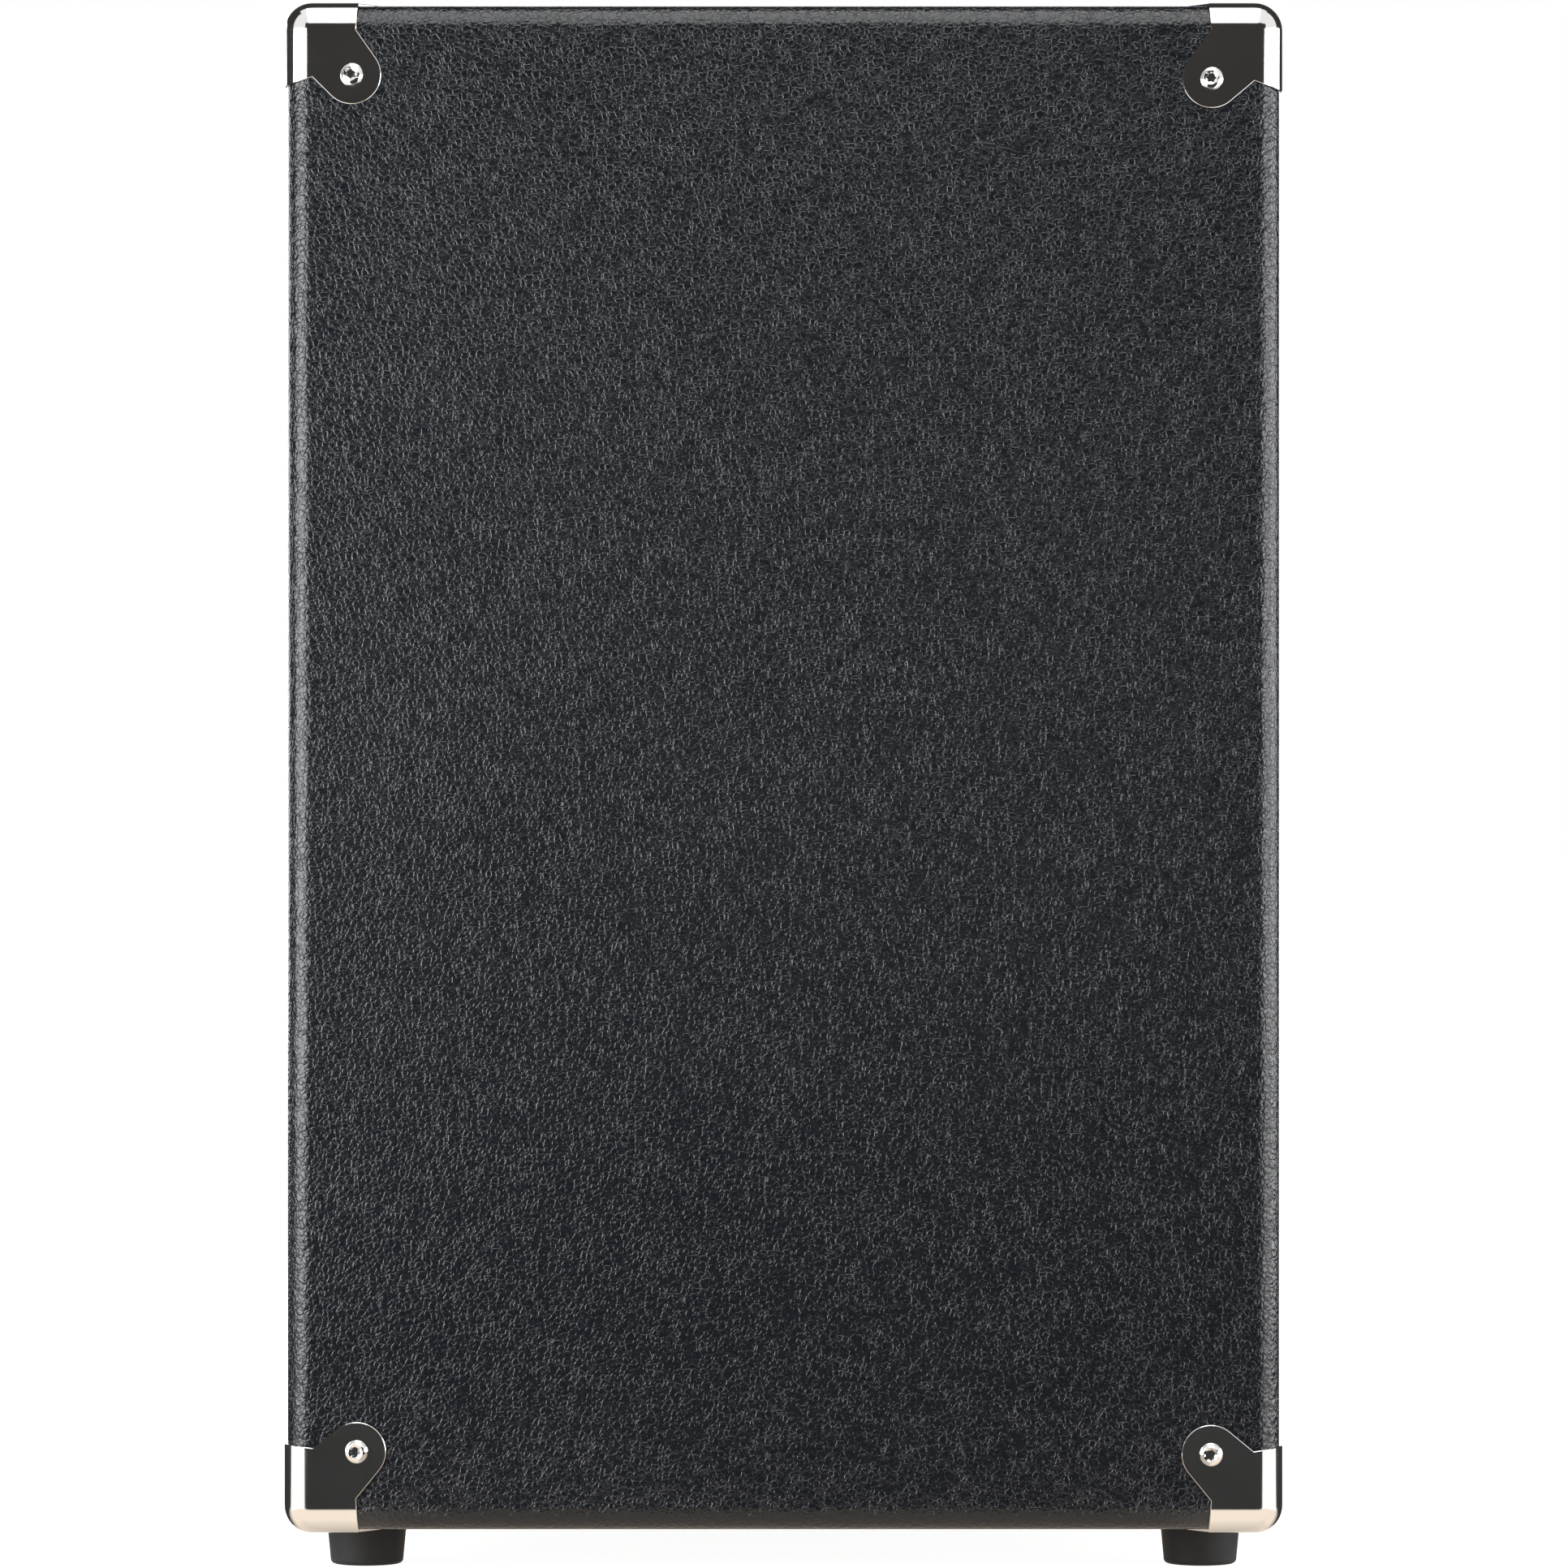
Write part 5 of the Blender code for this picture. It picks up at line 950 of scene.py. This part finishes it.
def makeButton(name):
    centre = middleOf('button_' + name)
    radius, proud, deep = button['radius'], button['proud'], button['deep']
    inner, outer = button['ringIn'], button['ringOut']
    profile = [(0, proud - 0.0005), (radius * 0.5, proud - 0.0004), (radius - 0.0010, proud),
               (radius - 0.0003, proud - 0.0002), (radius, proud - 0.0006), (radius, -deep), (0, -deep)]
    bm = lathe(profile, 48)
    place = Matrix.Translation((centre.x, panelFace, panelMiddle)) @ towardsFront
    bm.transform(place)
    finishPiece('press_' + name, bm, satinPlastic, ('button_' + name,), f'button_{name}_body')
    ring = ringLathe([(inner, 0.0001), (outer, 0.0001), (outer, 0.0006), (outer - 0.0004, 0.0009),
                      (inner + 0.0003, 0.0009), (inner, 0.0006)], 48)
    ring.transform(place)
    finishPiece('ring_' + name, ring, darkMetal)


statusLamp = {'radius': 0.0030, 'sleeve': 0.0012, 'rise': 0.0028, 'deep': 0.0079, 'ringIn': 0.0031,
              'ringOut': 0.0048, 'domeSteps': 8}


def makeLamp():
    centre = middleOf('status_lamp')
    radius, deep, inner, outer = [statusLamp[key] for key in ('radius', 'deep', 'ringIn', 'ringOut')]
    place = Matrix.Translation((centre.x, panelFace, panelMiddle)) @ towardsFront
    turns = [pi / 2 * i / statusLamp['domeSteps'] for i in range(statusLamp['domeSteps'] + 1)]
    dome = [(radius * sin(a), statusLamp['sleeve'] + statusLamp['rise'] * cos(a)) for a in turns]
    bm = lathe([*dome, (radius, -deep), (0, -deep)], 40)
    bm.transform(place)
    finishPiece('lampLensPiece', bm, lampLens, ('status_lamp',))
    ring = ringLathe([(inner, 0.0003), (outer, 0.0003), (outer, 0.0010), (outer - 0.0006, 0.0017),
                      (inner + 0.0003, 0.0017), (inner, 0.0013)], 48)
    ring.transform(place)
    finishPiece('lampRing', ring, polishedNickel)


for name in knobNames:
    makeKnob(name)
for name in ('pad', 'deep', 'bright'):
    makeButton(name)
makePanel()
makeLamp()
makeJack('input_jack', towardsFront, panelFace, 0.002)
makeJack('phones_jack', towardsFront, panelFace, 0.002)
print("control panel made")


rearLow, rearHigh = boxOf('rear_panel')
rearFace = rearHigh.y
makeJack('speaker_jack', towardsRear, rearFace, 0.0016)
softenedNode('rear_panel', panelPaint, 0.00025)
softenedNode('di_connector', darkMetal, 0.00025)
softenedNode('mains_inlet', blackPlastic, 0.0003)
softenedNode('fuse_drawer', satinPlastic, 0.0003, 'drawer')
softenedNode('power_switch_housing', blackPlastic, 0.0003)
softenedNode('power_rocker', satinPlastic, 0.0004, 'rocker', 3)
softenedNode('heat_sink', bareAluminium, 0.0002)
softenedNode('rear_board', grainVinyl, 0.0010, steps=3)
softenedNode('amp_shelf', grainVinyl, 0.0012, steps=3)


rearScrew = {'edge': 0.014, 'across': 5, 'panelEdge': 0.009, 'turn': 1.1, 'scale': (0.8, 0.8, 0.7, 1)}


def makeRearScrews():
    # round the rear board, then along the rear panel's top and bottom
    boardLow, boardHigh = boxOf('rear_board')
    places = []
    edge, spans, near = rearScrew['edge'], rearScrew['across'] - 1, rearScrew['panelEdge']
    for i in range(spans + 1):
        x = boardLow.x + edge + (boardHigh.x - boardLow.x - 2 * edge) * i / spans
        places += [(x, boardLow.z + edge), (x, boardHigh.z - edge)]
    for i in range(1, spans):
        up = boardLow.z + edge + (boardHigh.z - boardLow.z - 2 * edge) * i / spans
        places += [(boardLow.x + edge, up), (boardHigh.x - edge, up)]
    places += [(x, z) for x in (rearLow.x + near, 0.0, rearHigh.x - near)
               for z in (rearLow.z + near, rearHigh.z - near)]
    screws = bmesh.new()
    for i, (x, z) in enumerate(places):
        placeMesh(screws, capScrew, Matrix.Translation((x, boardHigh.y, z)) @ towardsRear
                  @ Matrix.Rotation(i * rearScrew['turn'], 4, 'Z') @ Matrix.Diagonal(rearScrew['scale']))
    finishPiece('rearScrews', screws, darkMetal)


makeRearScrews()
print("rear made")


# the nodes that keep their own shape get a finish
nodeFinishes = {
    'cabinet_shell': birchPly, 'front_baffle': birchPly, 'grille_frame': birchPly,
    'woofer_basket': zincSteel, 'woofer_magnet': ferriteBlack, 'woofer_yoke': zincSteel,
    'woofer_cone': paperPulp, 'voice_coil': coilCopper, 'woofer_surround': strapRubber,
    'woofer_spider': speakerCloth, 'horn_flare': blackPlastic, 'horn_driver': ferriteBlack,
    'port_tube_left': blackPlastic, 'port_tube_right': blackPlastic, 'crossover_board': boardGreen,
    'control_board': boardGreen, 'chassis_tray': zincSteel, 'main_board': boardGreen,
    'mains_transformer': coilCopper,
}
for node, finish in nodeFinishes.items():
    holder = bpy.data.objects[node]
    holder.data.materials.clear()
    holder.data.materials.append(finish.material)
print("nodes finished")
